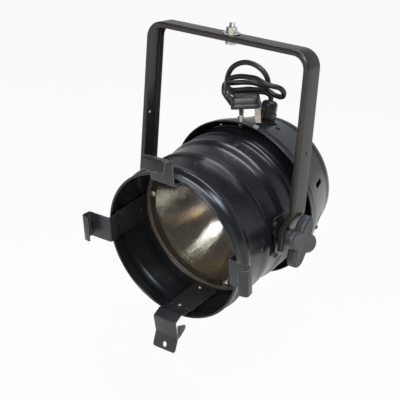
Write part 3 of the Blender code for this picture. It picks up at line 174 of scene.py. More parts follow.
class Tree:
    """The node tree of a material or a world."""

    def __init__(self, owner: bpy.types.Material | bpy.types.World, output: str) -> None:
        """Empties the owner's tree.

        Args:
            owner: The material or world.
            output: The type of its output node.
        """
        owner.use_nodes = True
        self.tree = owner.node_tree
        self.tree.nodes.clear()
        self.output = self.tree.nodes.new(output)

    def node(self, kind: str, settings: dict | None = None, inputs: dict | None = None,
             output: int | str = 0) -> Value:
        """Adds any node.

        Args:
            kind: The node's type.
            settings: Properties, which are set first.
            inputs: Numbers, colours or values by socket.
            output: The socket to return.

        Returns:
            The node's output as a value.
        """
        made = self.tree.nodes.new(kind)
        for key, value in (settings or {}).items():
            setattr(made, key, value)
        for key, value in (inputs or {}).items():
            self.feed(made.inputs[key], value)
        return Value(self, made.outputs[output])

    def feed(self, socket: bpy.types.NodeSocket, value: "Value | float | Sequence[float]") -> None:
        """Links a value to a socket, or sets a plain number or colour on it.

        Args:
            socket: An input socket.
            value: What it gets.
        """
        if isinstance(value, Value):
            self.tree.links.new(value.socket, socket)
        elif socket.type == "RGBA":
            socket.default_value = (*value[:3], 1.0)
        else:
            socket.default_value = value

    def parts(self, point: Value) -> tuple[Value, Value, Value]:
        """The three coordinates of a point."""
        outputs = self.node("ShaderNodeSeparateXYZ", None, {0: point}).socket.node.outputs
        return tuple(Value(self, outputs[index]) for index in range(3))

    def shade(self, surface: Value) -> None:
        """Links a finished shader to the tree's output."""
        self.feed(self.output.inputs["Surface"], surface)


class Graph(Tree):
    """A material's node tree around one Principled shader."""

    def __init__(self, name: str) -> None:
        """Starts a material.

        Args:
            name: The material's name.
        """
        self.material = bpy.data.materials.new(name)
        super().__init__(self.material, "ShaderNodeOutputMaterial")
        self.shader = self.tree.nodes.new("ShaderNodeBsdfPrincipled")
        self.shade(self.surface)

    @property
    def surface(self) -> Value:
        """The Principled shader's output."""
        return Value(self, self.shader.outputs[0])

    def set(self, **inputs: "Value | float | Sequence[float]") -> None:
        """Feeds the shader's sockets, named with underscores for spaces."""
        for key, value in inputs.items():
            self.feed(self.shader.inputs[key.replace("_", " ")], value)

    def point(self, frame: Matrix | None = None, scale: Point = (1.0, 1.0, 1.0)) -> Value:
        """Object coordinates, in a piece's own frame where one is given.

        Args:
            frame: The frame in which the pattern lies.
            scale: Stretch of the pattern along that frame's axes.

        Returns:
            The coordinates.
        """
        place = self.node("ShaderNodeTexCoord", None, None, "Object")
        if frame is not None:
            inverse = frame.inverted()
            place = self.node("ShaderNodeMapping", None, {
                "Vector": place, "Location": inverse.to_translation(),
                "Rotation": inverse.to_euler()})
        if tuple(scale) != (1.0, 1.0, 1.0):
            place = self.node("ShaderNodeMapping", None, {"Vector": place, "Scale": scale})
        return place

    def noise(self, point: Value, scale: float, detail: float = 3.0, rough: float = 0.55) -> Value:
        """Smooth noise from 0 to 1 with so many features to the metre."""
        return self.node("ShaderNodeTexNoise", None, {
            "Vector": point, "Scale": scale, "Detail": detail, "Roughness": rough})

    def cells(self, point: Value, scale: float) -> Value:
        """Distance to the nearest of scattered points."""
        return self.node("ShaderNodeTexVoronoi", {"feature": "F1"}, {"Vector": point, "Scale": scale})

    def joined(self, x: "Value | float", y: "Value | float", z: "Value | float") -> Value:
        """A point from its three coordinates."""
        return self.node("ShaderNodeCombineXYZ", None, {0: x, 1: y, 2: z})

    def mix(self, share: "Value | float", first: "Value | Colour", second: "Value | Colour") -> Value:
        """One colour fading into another."""
        return self.node("ShaderNodeMix", {"data_type": "RGBA"}, {0: share, 6: first, 7: second}, 2)

    def edges(self) -> Value:
        """How sharp and proud the surface is: about one half where it is flat."""
        return self.node("ShaderNodeNewGeometry", None, None, "Pointiness")

    def normal(self) -> Value:
        """The surface's own normal."""
        return self.node("ShaderNodeNewGeometry", None, None, "Normal")

    def near_edge(self, width: float) -> Value:
        """How near an edge the surface is.

        Args:
            width: How far from an edge it still counts.

        Returns:
            From 0 on the flats to 1 on the edge.
        """
        slight, full = 0.008, 0.07
        rounded = self.node("ShaderNodeBevel", {"samples": 4}, {"Radius": width})
        both = {0: self.normal(), 1: rounded}
        match = self.node("ShaderNodeVectorMath", {"operation": "DOT_PRODUCT"}, both, "Value")
        return (1.0 - match).ramp(slight, full)

    def facing_up(self) -> Value:
        """How far the surface faces upwards."""
        return self.parts(self.normal())[2]

    def bump(self, height: Value, distance: float, strength: float = 1.0) -> None:
        """Feeds the shader's normal from a height in metres."""
        made = self.node("ShaderNodeBump", None, {
            "Height": height, "Distance": distance, "Strength": strength})
        self.set(Normal=made)


# Finishes


@dataclass(frozen=True)
class Finish:
    """A surface finish, and the record's material slot that it belongs to."""

    name: str
    slot: str

    def material(self) -> bpy.types.Material:
        """The finish's material, made the first time that it is asked for."""
        found = bpy.data.materials.get("look_" + self.name)
        if found is not None:
            return found
        graph = Graph("look_" + self.name)
        self.dress(graph)
        return graph.material

    def dress(self, graph: Graph) -> None:
        """Builds the finish's nodes.

        Args:
            graph: The material that is built.
        """
        raise NotImplementedError


@dataclass(frozen=True)
class Paint(Finish):
    """Stoved black paint with a fine peel, dust and worn edges."""

    colour: Colour = (0.0058, 0.0063, 0.0076)
    roughness: float = 0.24
    specular: float = 0.50
    worn: Colour = (0.42, 0.41, 0.39)
    wear: float = 0.5
    dust: float = 0.15
    edge: float = 0.0
    spun: bool = False

    def dress(self, graph: Graph) -> None:
        """Builds the paint.

        Args:
            graph: The material that is built.
        """
        point = graph.point(HEAD)
        broad = graph.noise(point, 16.0, 4.0)
        peel = graph.noise(point, 950.0, 2.0)
        smears = graph.noise(graph.point(HEAD, (1.0, 0.35, 2.2)), 60.0, 5.0, 0.62)
        specks = graph.cells(point, 650.0).ramp(0.13, 0.06) * graph.noise(point, 85.0, 2.0).ramp(0.54, 0.72)
        chips = graph.noise(point, 330.0, 4.0, 0.7).ramp(0.46, 0.60)
        edge = graph.near_edge(self.edge) if self.edge else graph.edges().ramp(0.62, 0.75)
        rubbed = edge * chips * self.wear
        settled = graph.facing_up().ramp(0.15, 0.95) * smears.ramp(0.42, 0.70) * self.dust
        lighter = tuple(1.5 * part + 0.0015 for part in self.colour)
        colour = graph.mix(broad.ramp(0.30, 0.72), self.colour, lighter)
        colour = graph.mix(settled * 0.07, colour, (0.085, 0.080, 0.072))
        colour = graph.mix(specks * self.dust, colour, (0.20, 0.19, 0.17))
        colour = graph.mix(rubbed, colour, self.worn)
        rough = self.roughness + (broad - 0.5) * 0.08 + smears * 0.04 + settled * 0.10
        graph.set(Base_Color=colour, Roughness=rough, Metallic=rubbed * 0.7, Specular_IOR_Level=self.specular)
        height = peel * 0.6 + smears * 0.4
        if self.spun:
            x, y, z = graph.parts(point)
            radius = (x * x + z * z) ** 0.5
            rings = graph.noise(graph.joined(0.0, y, radius), 520.0, 3.0, 0.6)
            height = height + rings * 0.9
        graph.bump(height, 0.00007)


@dataclass(frozen=True)
class Zinc(Finish):
    """Bright zinc plate with a faint passivated tint."""

    colour: Colour = (0.60, 0.61, 0.60)
    tint: Colour = (0.52, 0.48, 0.36)
    roughness: float = 0.30

    def dress(self, graph: Graph) -> None:
        """Builds the plate.

        Args:
            graph: The material that is built.
        """
        point = graph.point()
        clouds = graph.noise(point, 180.0, 4.0)
        grain = graph.noise(point, 2600.0, 2.0)
        stains = graph.noise(point, 420.0, 4.0, 0.65).ramp(0.56, 0.72)
        colour = graph.mix(clouds.ramp(0.42, 0.66), self.colour, self.tint)
        colour = graph.mix(stains * 0.45, colour, (0.16, 0.15, 0.13))
        rough = self.roughness + clouds * 0.14 + stains * 0.25
        graph.set(Base_Color=colour, Roughness=rough, Metallic=1.0)
        graph.bump(grain, 0.00003)


@dataclass(frozen=True)
class Plastic(Finish):
    """Moulded plastic with a fine texture, scuffs and dust."""

    colour: Colour = (0.026, 0.027, 0.029)
    roughness: float = 0.42
    texture: float = 0.00006
    scuff: float = 0.35

    def dress(self, graph: Graph) -> None:
        """Builds the plastic.

        Args:
            graph: The material that is built.
        """
        point = graph.point()
        broad = graph.noise(point, 45.0, 4.0)
        grain = graph.noise(point, 2300.0, 2.0)
        scuffs = graph.noise(graph.point(None, (1.0, 3.5, 0.8)), 210.0, 5.0, 0.7).ramp(0.54, 0.70)
        rubbed = graph.edges().ramp(0.52, 0.60) * self.scuff
        paler = tuple(2.0 * part + 0.006 for part in self.colour)
        colour = graph.mix(broad.ramp(0.35, 0.70) * 0.5, self.colour, paler)
        colour = graph.mix(scuffs * self.scuff * 0.5, colour, paler)
        colour = graph.mix(rubbed * 0.6, colour, tuple(1.6 * part for part in paler))
        rough = self.roughness + (broad - 0.5) * 0.12 + scuffs * 0.12
        graph.set(Base_Color=colour, Roughness=rough)
        graph.bump(grain * 0.7 + scuffs * 0.3, self.texture)


@dataclass(frozen=True)
class Rubber(Finish):
    """The cord's black sheath, faintly bloomed."""

    colour: Colour = (0.0075, 0.0080, 0.0080)
    roughness: float = 0.34

    def dress(self, graph: Graph) -> None:
        """Builds the sheath.

        Args:
            graph: The material that is built.
        """
        point = graph.point()
        bloom = graph.noise(point, 70.0, 4.0)
        grain = graph.noise(point, 1500.0, 3.0)
        colour = graph.mix(bloom.ramp(0.35, 0.70), self.colour, (0.0150, 0.0160, 0.0145))
        graph.set(Base_Color=colour, Roughness=self.roughness + bloom * 0.16)
        graph.bump(grain, 0.00006)


@dataclass(frozen=True)
class WireMesh(Finish):
    """Galvanised wire, browned by the lamp's heat."""

    colour: Colour = (0.085, 0.072, 0.058)

    def dress(self, graph: Graph) -> None:
        """Builds the wire.

        Args:
            graph: The material that is built.
        """
        point = graph.point(HEAD)
        heat = graph.noise(point, 24.0, 4.0)
        spots = graph.noise(point, 600.0, 3.0).ramp(0.50, 0.66)
        colour = graph.mix(heat.ramp(0.36, 0.66), self.colour, (0.060, 0.042, 0.028))
        colour = graph.mix(spots * 0.25, colour, (0.26, 0.24, 0.20))
        graph.set(Base_Color=colour, Roughness=0.38 + heat * 0.2, Metallic=0.85)


@dataclass(frozen=True)
class Glass(Finish):
    """Pressed heat-proof glass, stippled to spread the beam."""

    stipple: float = 0.0
    roughness: float = 0.02

    def dress(self, graph: Graph) -> None:
        """Builds the glass.

        Args:
            graph: The material that is built.
        """
        point = graph.point(HEAD)
        haze = graph.noise(point, 90.0, 4.0)
        graph.set(Base_Color=(0.97, 0.975, 0.97), Transmission_Weight=1.0, IOR=1.47,
                  Roughness=self.roughness + haze * 0.05)
        if self.stipple:
            bulges = graph.cells(point, 330.0)
            graph.bump(bulges ** 2.0 * -1.0 + haze * 0.05, self.stipple)


@dataclass(frozen=True)
class Mirror(Finish):
    """The lamp's aluminised reflector, with a painted warm reflection over its upper part."""

    colour: Colour = (0.66, 0.64, 0.58)
    # Tint of the painted warm reflection on the mirror's upper part.
    warm: Colour = (0.62, 0.46, 0.24)

    def dress(self, graph: Graph) -> None:
        """Builds the mirror.

        Args:
            graph: The material that is built.
        """
        point = graph.point(HEAD)
        x, y, z = graph.parts(point)
        # Painted reflection: the mirror turns warm towards its top, from its height plus noise.
        painted_reflection_share = (z * 9.0 + graph.noise(point, 30.0, 3.0)).ramp(0.75, 1.25)
        flutes = graph.cells(point, 260.0)
        colour = graph.mix(painted_reflection_share, self.colour, self.warm)
        graph.set(Base_Color=colour, Roughness=0.13, Metallic=1.0)
        graph.bump(flutes, 0.00006)


@dataclass(frozen=True)
class Ceramic(Finish):
    """Unglazed steatite with small dark specks."""

    colour: Colour = (0.74, 0.71, 0.63)

    def dress(self, graph: Graph) -> None:
        """Builds the ceramic.

        Args:
            graph: The material that is built.
        """
        point = graph.point()
        specks = graph.cells(point, 520.0).ramp(0.14, 0.05)
        soot = graph.noise(point, 55.0, 4.0)
        colour = graph.mix(soot.ramp(0.48, 0.75) * 0.5, self.colour, (0.46, 0.40, 0.31))
        colour = graph.mix(specks * 0.5, colour, (0.20, 0.17, 0.13))
        graph.set(Base_Color=colour, Roughness=0.50 + soot * 0.2)
        graph.bump(graph.noise(point, 1800.0, 2.0), 0.00006)


@dataclass(frozen=True)
class Fibre(Finish):
    """Pressed fibre, or woven sleeving where it is drawn out along one axis."""

    colour: Colour = (0.13, 0.105, 0.080)
    weave: float = 900.0

    def dress(self, graph: Graph) -> None:
        """Builds the fibre.

        Args:
            graph: The material that is built.
        """
        point = graph.point()
        strands = graph.noise(graph.point(None, (1.0, 0.3, 1.0)), self.weave, 4.0, 0.7)
        darker = tuple(0.55 * part for part in self.colour)
        colour = graph.mix(strands.ramp(0.36, 0.66), self.colour, darker)
        colour = graph.mix(graph.noise(point, 60.0).ramp(0.5, 0.8) * 0.4, colour, (0.05, 0.045, 0.04))
        graph.set(Base_Color=colour, Roughness=0.85)
        graph.bump(strands, 0.00015)


HOUSING = Paint("housing", "black_paint", spun=True, wear=0.10)
HOUSING_SHEET = Paint("housing_sheet", "black_paint", wear=0.35, edge=0.0009)
YOKE_PAINT = Paint("yoke_paint", "yoke_paint", (0.0150, 0.0120, 0.0102), 0.27, wear=0.45, dust=0.30,
                   edge=0.0007)
CLIP_PAINT = Paint("clip_paint", "clip_paint", (0.016, 0.0175, 0.019), 0.30, wear=0.9, dust=0.08, edge=0.0016)
SCREW_PAINT = Paint("screw_paint", "black_paint", (0.014, 0.014, 0.015), 0.34, wear=0.9, dust=0.3)
WIRE_EDGE = Paint("guard_edge", "black_paint", (0.075, 0.062, 0.050), 0.5, wear=0.6, dust=0.4)
ZINC = Zinc("zinc", "zinc")
KNOB_PLASTIC = Plastic("knob_plastic", "knob_plastic")
BLACK_PLASTIC = Plastic("black_plastic", "black_plastic", (0.0085, 0.0085, 0.0085), 0.38)
CORD_RUBBER = Rubber("cord_rubber", "cord_rubber")
PLATED_PIN = Zinc("plated_pin", "brass", (0.66, 0.65, 0.62), (0.55, 0.50, 0.40), 0.22)
WIRE = WireMesh("wire_mesh", "wire_mesh")
LENS_GLASS = Glass("lens_glass", "glass", stipple=0.00018, roughness=0.05)
CAPSULE_GLASS = Glass("capsule_glass", "glass")
REFLECTOR = Mirror("reflector", "reflector")
CERAMIC = Ceramic("ceramic", "ceramic")
FIBRE = Fibre("fibre", "fibre")
SLEEVE = Fibre("lead_sleeve", "lead_sleeve", (0.66, 0.63, 0.55), 2200.0)


# Shaping


def on_can(angle: float, station: float, radius: float, lean: float = 0.0) -> Matrix:
    """A frame on the can with Z outward, in the head's frame.

    Args:
        angle: Degrees round the lamp's axis from +X towards +Z.
        station: Distance forward of the tilt axis.
        radius: Distance from the lamp's axis.
        lean: Radians by which Z leans back.

    Returns:
        The frame.
    """
    turn = Matrix.Rotation(math.radians(90.0 - angle), 4, "Y")
    place = Matrix.Translation((0.0, -station, radius))
    return turn @ place @ Matrix.Rotation(-lean, 4, "X")


def arc(centre: Point, radii: Point, start: float, end: float, steps: int) -> list[tuple[float, float]]:
    """Points of an elliptic arc in a plane, angles in degrees."""
    angles = [math.radians(start + (end - start) * i / steps) for i in range(steps + 1)]
    return [(centre[0] + radii[0] * math.cos(a), centre[1] + radii[1] * math.sin(a)) for a in angles]


def fillet(points: Sequence[Point], radii: Sequence[float], steps: int = 8) -> list[Vector]:
    """A flat path with its inner corners rounded.

    Args:
        points: The path's corners.
        radii: A radius for each inner corner.
        steps: Steps of each rounded corner.

    Returns:
        The rounded path's points.
    """
    path = [Vector(points[0])]
    for before, corner, after, radius in zip(points, points[1:], points[2:], radii):
        corner = Vector(corner)
        arrive = (Vector(before) - corner).normalized()
        leave = (Vector(after) - corner).normalized()
        half = arrive.angle(leave) / 2
        reach = radius / math.tan(half)
        centre = corner + (arrive + leave).normalized() * radius / math.sin(half)
        first = corner + arrive * reach - centre
        sweep = first.angle_signed(corner + leave * reach - centre)
        path += [centre + Matrix.Rotation(-sweep * i / steps, 2) @ first for i in range(steps + 1)]
    return path + [Vector(points[-1])]


def headings(path: Sequence[Vector]) -> list[Vector]:
    """The direction of a flat path at each of its points.

    Args:
        path: The path's points.

    Returns:
        A direction for each.
    """
    found = []
    for row, point in enumerate(path):
        ahead = path[min(row + 1, len(path) - 1)] - point
        behind = point - path[max(row - 1, 0)]
        found.append((ahead.normalized() + behind.normalized()).normalized())
    return found


def quarter(steps: int) -> list[float]:
    """Even angles from 0 to a right angle."""
    return [math.pi / 2 * i / steps for i in range(steps + 1)]


class Form:
    """A mesh being shaped with bmesh operators."""

    def __init__(self) -> None:
        """Starts an empty form."""
        self.bm = bmesh.new()

    def chain(self, points: Iterable[Point], closed: bool = False) -> list[bmesh.types.BMEdge]:
        """Adds a chain of edges, the start of a spin or a sweep.

        Args:
            points: The points that it goes through.
            closed: Whether its last point joins its first.

        Returns:
            Its edges.
        """
        verts = [self.bm.verts.new(point) for point in points]
        pairs = list(zip(verts, verts[1:])) + ([(verts[-1], verts[0])] if closed else [])
        return [self.bm.edges.new(pair) for pair in pairs]

    def lathe(self, profile: Sequence[Point], steps: int = TURNS, upright: bool = False) -> "Form":
        """Spins a profile of (height, radius) into a solid or a ring.

        Args:
            profile: Its points; it is closed unless both ends lie on the axis.
            steps: Steps of the turn.
            upright: Turn about Z with heights along +Z, and not forward along the lamp's axis.

        Returns:
            This form.
        """
        closed = max(profile[0][1], profile[-1][1]) > MERGE / 10
        points = [(r, 0.0, h) if upright else (r, -h, 0.0) for h, r in profile]
        edges = self.chain(points, closed)
        verts = list({vert for edge in edges for vert in edge.verts})
        bmesh.ops.spin(self.bm, geom=verts + edges, cent=(0, 0, 0), dvec=(0, 0, 0),
                       axis=(0, 0, 1) if upright else (0, 1, 0), angle=2 * math.pi, steps=steps,
                       use_merge=True, use_normal_flip=False, use_duplicate=False)
        return self.heal()

    def heal(self) -> "Form":
        """Merges doubles and turns every face outwards."""
        bmesh.ops.remove_doubles(self.bm, verts=list(self.bm.verts), dist=MERGE)
        bmesh.ops.recalc_face_normals(self.bm, faces=list(self.bm.faces))
        return self

    def extruded(self, edges: Sequence[bmesh.types.BMEdge]) -> tuple[list, list]:
        """Extrudes edges where they are.

        Args:
            edges: The edges.

        Returns:
            The new vertices, and the new edges between them.
        """
        made = bmesh.ops.extrude_edge_only(self.bm, edges=edges)["geom"]
        verts = [item for item in made if isinstance(item, bmesh.types.BMVert)]
        fresh = set(verts)
        return verts, [item for item in made if isinstance(item, bmesh.types.BMEdge)
                       and item.verts[0] in fresh and item.verts[1] in fresh]

    def sweep(self, section: Sequence[Point], frames: Sequence[Matrix]) -> "Form":
        """Extrudes a section through a row of frames.

        Args:
            section: Points in the frames, flat ones in their XY plane.
            frames: Where the section stands along the way.

        Returns:
            This form.
        """
        edges = self.chain([frames[0] @ Vector(point).to_3d() for point in section])
        for before, after in zip(frames, frames[1:]):
            verts, edges = self.extruded(edges)
            bmesh.ops.transform(self.bm, matrix=after @ before.inverted(), verts=verts)
        return self

    def outward(self, key: Callable[[Vector], float], direction: Callable[[Vector], Vector]) -> "Form":
        """Turns an open sheet round where it looks inward.

        Args:
            key: Is largest for the middle of the face that is tested.
            direction: What that face should look towards, from its middle.

        Returns:
            This form.
        """
        self.bm.normal_update()
        face = max(self.bm.faces, key=lambda item: key(item.calc_center_median()))
        if face.normal.dot(direction(face.calc_center_median())) < 0:
            bmesh.ops.reverse_faces(self.bm, faces=list(self.bm.faces))
        return self

    def stack(self, rings: Sequence[Callable[[float], Point]], count: int) -> "Form":
        """Builds a skin from rings, each a function of the angle round Z, closed at both ends.

        Args:
            rings: From one end to the other.
            count: Points in each ring.

        Returns:
            This form.
        """
        verts = bmesh.ops.create_circle(self.bm, cap_ends=False, segments=count, radius=1.0)["verts"]
        angles = [math.atan2(vert.co.y, vert.co.x) for vert in verts]
        loops = [verts]
        edges = [edge for edge in self.bm.edges if edge.verts[0] in set(verts)]
        for _ in rings[1:]:
            fresh, edges = self.extruded(edges)
            loops.append(sorted(fresh, key=lambda vert: _nearest(angles, vert)))
        for ring, loop in zip(rings, loops):
            for angle, vert in zip(angles, loop):
                vert.co = ring(angle)
        for loop in (loops[0], loops[-1]):
            middle = sum((vert.co for vert in loop), Vector()) / count
            ends = [edge for edge in {e for vert in loop for e in vert.link_edges} if edge.is_boundary]
            bmesh.ops.pointmerge(self.bm, verts=self.extruded(ends)[0], merge_co=middle)
        return self.heal()

    def block(self, size: Point, frame: Matrix = Matrix.Identity(4), round_z: float = 0.0,
              steps: int = 6) -> "Form":
        """Adds a box.

        Args:
            size: Its size along the frame's axes.
            frame: Its middle and its axes.
            round_z: Rounding of the edges along its Z.
            steps: Steps of that rounding.

        Returns:
            This form.
        """
        verts = bmesh.ops.create_cube(self.bm, size=1.0)["verts"]
        bmesh.ops.scale(self.bm, vec=size, verts=verts)
        if round_z:
            upright = [edge for edge in {e for vert in verts for e in vert.link_edges}
                       if (edge.verts[0].co.xy - edge.verts[1].co.xy).length < MERGE / 1000]
            made = bmesh.ops.bevel(self.bm, geom=upright, offset=round_z, segments=steps, profile=0.5,
                                   affect="EDGES", material=-1, clamp_overlap=True)
            verts = list({vert for face in made["faces"] for vert in face.verts}
                         | {vert for vert in verts if vert.is_valid})
        bmesh.ops.transform(self.bm, matrix=frame, verts=verts)
        return self

    def cylinder(self, radius: float, depth: float, frame: Matrix, sides: int = 40) -> "Form":
        """Adds a closed cylinder or prism centred on a frame.

        Args:
            radius: Its radius to its corners.
            depth: Its length.
            frame: Its middle, its Z along its length.
            sides: Its number of sides.

        Returns:
            This form.
        """
        bmesh.ops.create_cone(self.bm, cap_ends=True, segments=sides, radius1=radius, radius2=radius,
                              depth=depth, matrix=frame)
        return self

    def thicken(self, thickness: float) -> "Form":
        """Gives a sheet its thickness behind its face.

        Args:
            thickness: The thickness.

        Returns:
            This form.
        """
        bmesh.ops.solidify(self.bm, geom=list(self.bm.faces), thickness=thickness)
        bmesh.ops.recalc_face_normals(self.bm, faces=list(self.bm.faces))
        return self

    def soften(self, width: float, steps: int = 2, sharper: float = 50.0,
               only: Callable[[bmesh.types.BMEdge], bool] | None = None) -> "Form":
        """Rounds the edges that are sharper than an angle.

        Args:
            width: The width of the rounding.
            steps: Its steps.
            sharper: Degrees between two faces, above which their edge is rounded.
            only: A test that an edge must pass too.

        Returns:
            This form.
        """
        self.bm.normal_update()
        limit = math.radians(sharper)
        chosen = [edge for edge in self.bm.edges if edge.is_manifold and edge.calc_face_angle(0.0) > limit
                  and (only is None or only(edge))]
        bmesh.ops.bevel(self.bm, geom=chosen, offset=width, segments=steps, profile=0.5, affect="EDGES",
                        material=-1, clamp_overlap=True)
        return self

    def move(self, frame: Matrix) -> "Form":
        """Moves the whole form.

        Args:
            frame: The move, which may be a reflection.

        Returns:
            This form.
        """
        bmesh.ops.transform(self.bm, matrix=frame, verts=list(self.bm.verts))
        if frame.to_3x3().determinant() < 0:
            bmesh.ops.reverse_faces(self.bm, faces=list(self.bm.faces))
        return self

    def add(self, other: "Form", frames: Sequence[Matrix] = (Matrix.Identity(4),)) -> "Form":
        """Adds copies of another form, and frees it.

        Args:
            other: The form.
            frames: Where the copies go.

        Returns:
            This form.
        """
        mesh = bpy.data.meshes.new("copy")
        other.bm.to_mesh(mesh)
        other.bm.free()
        for frame in frames:
            start = len(self.bm.verts)
            self.bm.from_mesh(mesh)
            self.bm.verts.ensure_lookup_table()
            bmesh.ops.transform(self.bm, matrix=frame, verts=self.bm.verts[start:])
        bpy.data.meshes.remove(mesh)
        return self

    def boolean(self, tool: "Form", operation: str = "DIFFERENCE") -> "Form":
        """Cuts, joins or keeps what is shared with another form, and frees that form.

        Args:
            tool: The other form.
            operation: The boolean modifier's operation.

        Returns:
            This form.
        """
        holders = []
        for form in (self, tool):
            mesh = bpy.data.meshes.new("boolean")
            form.bm.to_mesh(mesh)
            form.bm.free()
            holders.append(bpy.data.objects.new("boolean", mesh))
            bpy.context.scene.collection.objects.link(holders[-1])
        cut = holders[0].modifiers.new("Cut", "BOOLEAN")
        cut.operation = operation
        cut.object = holders[1]
        cut.solver = "EXACT"
        depsgraph = bpy.context.evaluated_depsgraph_get()
        result = bpy.data.meshes.new_from_object(holders[0].evaluated_get(depsgraph))
        self.bm = bmesh.new()
        self.bm.from_mesh(result)
        for holder in holders:
            mesh = holder.data
            bpy.data.objects.remove(holder)
            bpy.data.meshes.remove(mesh)
        bpy.data.meshes.remove(result)
        return self

    def piece(self, name: str, finish: Finish, body: Body, replaces: Sequence[str] = (),
              frame: Matrix | None = None, smooth: float = 32.0) -> bpy.types.Object:
        """Turns the form into a piece that rides on a body.

        Args:
            name: The piece's name.
            finish: Its finish.
            body: The body that carries it.
            replaces: CAD nodes that it stands for.
            frame: Where the form's own frame lies.
            smooth: Degrees above which an edge stays sharp.

        Returns:
            The piece.
        """
        if frame is not None:
            self.move(frame)
        mesh = bpy.data.meshes.new(name)
        self.bm.to_mesh(mesh)
        self.bm.free()
        mesh.shade_smooth()
        mesh.set_sharp_from_angle(angle=math.radians(smooth))
        mesh.materials.append(finish.material())
        obj = bpy.data.objects.new(name, mesh)
        bpy.context.scene.collection.objects.link(obj)
        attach(obj, body.value)
        if replaces:
            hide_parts(*replaces)
        LOG.info("%s: %d faces on %s", name, len(mesh.polygons), body.value)
        return obj


def _nearest(angles: Sequence[float], vert: bmesh.types.BMVert) -> int:
    """The index of the ring angle at which a vertex stands."""
    own = math.atan2(vert.co.y, vert.co.x)
    return min(range(len(angles)), key=lambda i: abs(math.remainder(angles[i] - own, 2 * math.pi)))


def strip(path: Sequence[Point], width: float, thickness: float, corners: tuple[float, float] = (0.0, 0.0),
          edge: float = BREAK) -> Form:
    """A bent strip across X along a (station, radius) path, its face outward at the path's start.

    Args:
        path: Points of its outer face.
        width: Its width across X.
        thickness: Its sheet.
        corners: Rounding of the corners at its start and at its end.
        edge: Rounding of its edges.

    Returns:
        The strip, in a frame with X across, -Y forward and Z outward.
    """
    frames = [Matrix(((1, 0, 0, 0), (0, -along.y, -along.x, -point.x), (0, -along.x, along.y, point.y),
                      (0, 0, 0, 1))) for point, along in zip(path, headings(path))]
    form = Form().sweep([(-width / 2, 0.0), (width / 2, 0.0)], frames)
    form.outward(lambda middle: middle.y, lambda middle: Vector((0, 0, 1))).thicken(thickness)
    for end, corner in zip((path[0], path[-1]), corners):
        if corner:
            form.soften(corner, 6, 60.0, lambda item, end=end: _crosses_sheet(item, end, thickness))
    return form.soften(edge, 2, 50.0)


def _crosses_sheet(edge: bmesh.types.BMEdge, end: Point, thickness: float) -> bool:
    """Whether an edge crosses the sheet at an end of its path.

    Args:
        edge: The edge.
        end: The end's (station, radius).
        thickness: The sheet's.

    Returns:
        Whether it does.
    """
    reach = min((Vector((-vert.co.y, vert.co.z)) - Vector(end)).length for vert in edge.verts)
    level = abs(edge.verts[0].co.x - edge.verts[1].co.x) < 1e-6
    return level and reach < 1e-5 and 0.6 * thickness < edge.calc_length() < 1.3 * thickness


@dataclass(frozen=True)
class PanScrew:
    """A pan-head screw with a crossed recess."""

    radius: float = 0.0034
    height: float = 0.0021
    shank: float = 0.0018
    length: float = 0.003
    recess: float = 0.0008

    def form(self) -> Form:
        """One screw along Z, its head's underside at zero height."""
        dome = arc((self.height * 0.25, 0.0), (self.height * 0.75, self.radius), 0, 90, 6)
        profile = dome + [(0.0, self.radius), (0.0, self.shank), (-self.length, self.shank),
                          (-self.length, 0.0)]
        screw = Form().lathe(profile, 28, upright=True)
        for turn in (0.2, 0.2 + math.pi / 2):
            frame = Matrix.Translation((0, 0, self.height)) @ Matrix.Rotation(turn, 4, "Z")
            screw.boolean(Form().block((1.25 * self.radius, self.recess, 1.1 * self.height), frame))
        return screw


def rivet(bottom: float, top: float, radius: float, head: float, rise: float, domed: bool) -> Form:
    """A rivet along Z with a dome inside the can, and one outside or a flush end.

    Args:
        bottom: Height of the inner dome's seat.
        top: Height of the outer end's seat.
        radius: The shank's radius.
        head: The dome's radius.
        rise: The dome's height.
        domed: Whether the outer end is a dome.

    Returns:
        The rivet.
    """
    inner = [(bottom - rise * math.cos(a), head * math.sin(a)) for a in quarter(5)]
    outer = [(top + rise * math.cos(a), head * math.sin(a)) for a in quarter(5)]
    middle = [(top, radius), (bottom, radius)]
    start = outer if domed else [(top, 0.0)]
    return Form().lathe(start + middle + list(reversed(inner)), 24, upright=True)


def hexagon(corners: float, bottom: float, top: float, bore: float = 0.0, chamfer: float = 0.12) -> Form:
    """A hexagonal nut or head along Z with its corners chamfered at both ends.

    Args:
        corners: Radius to its corners.
        bottom: Its lower face.
        top: Its upper face.
        bore: Radius of its bore, or none.
        chamfer: The chamfer's share of that radius.

    Returns:
        The nut.
    """
    drop = chamfer * corners * 0.6
    side = [(top, corners * (1 - chamfer)), (top - drop, corners), (bottom + drop, corners),
            (bottom, corners * (1 - chamfer))]
    ends = [(bottom, bore), (top, bore)] if bore else [(bottom, 0.0)]
    profile = side + ends if bore else [(top, 0.0)] + side + ends
    middle = Matrix.Translation((0, 0, (top + bottom) / 2))
    prism = Form().cylinder(corners, 2 * (top - bottom), middle, 6)
    return Form().lathe(profile, 96, upright=True).boolean(prism, "INTERSECT")


def washer(low: float, high: float, bore: float, radius: float, steps: int) -> Form:
    """A flat washer round Z with its outer edges broken.

    Args:
        low: Its lower face.
        high: Its upper face.
        bore: Radius of its bore.
        radius: Its outer radius.
        steps: Steps of its turn.

    Returns:
        The washer.
    """
    profile = [(high, radius - BREAK), (high - BREAK, radius), (low + BREAK, radius), (low, radius - BREAK),
               (low, bore), (high, bore)]
    return Form().lathe(profile, steps, upright=True)


# Yoke and hanging bolt


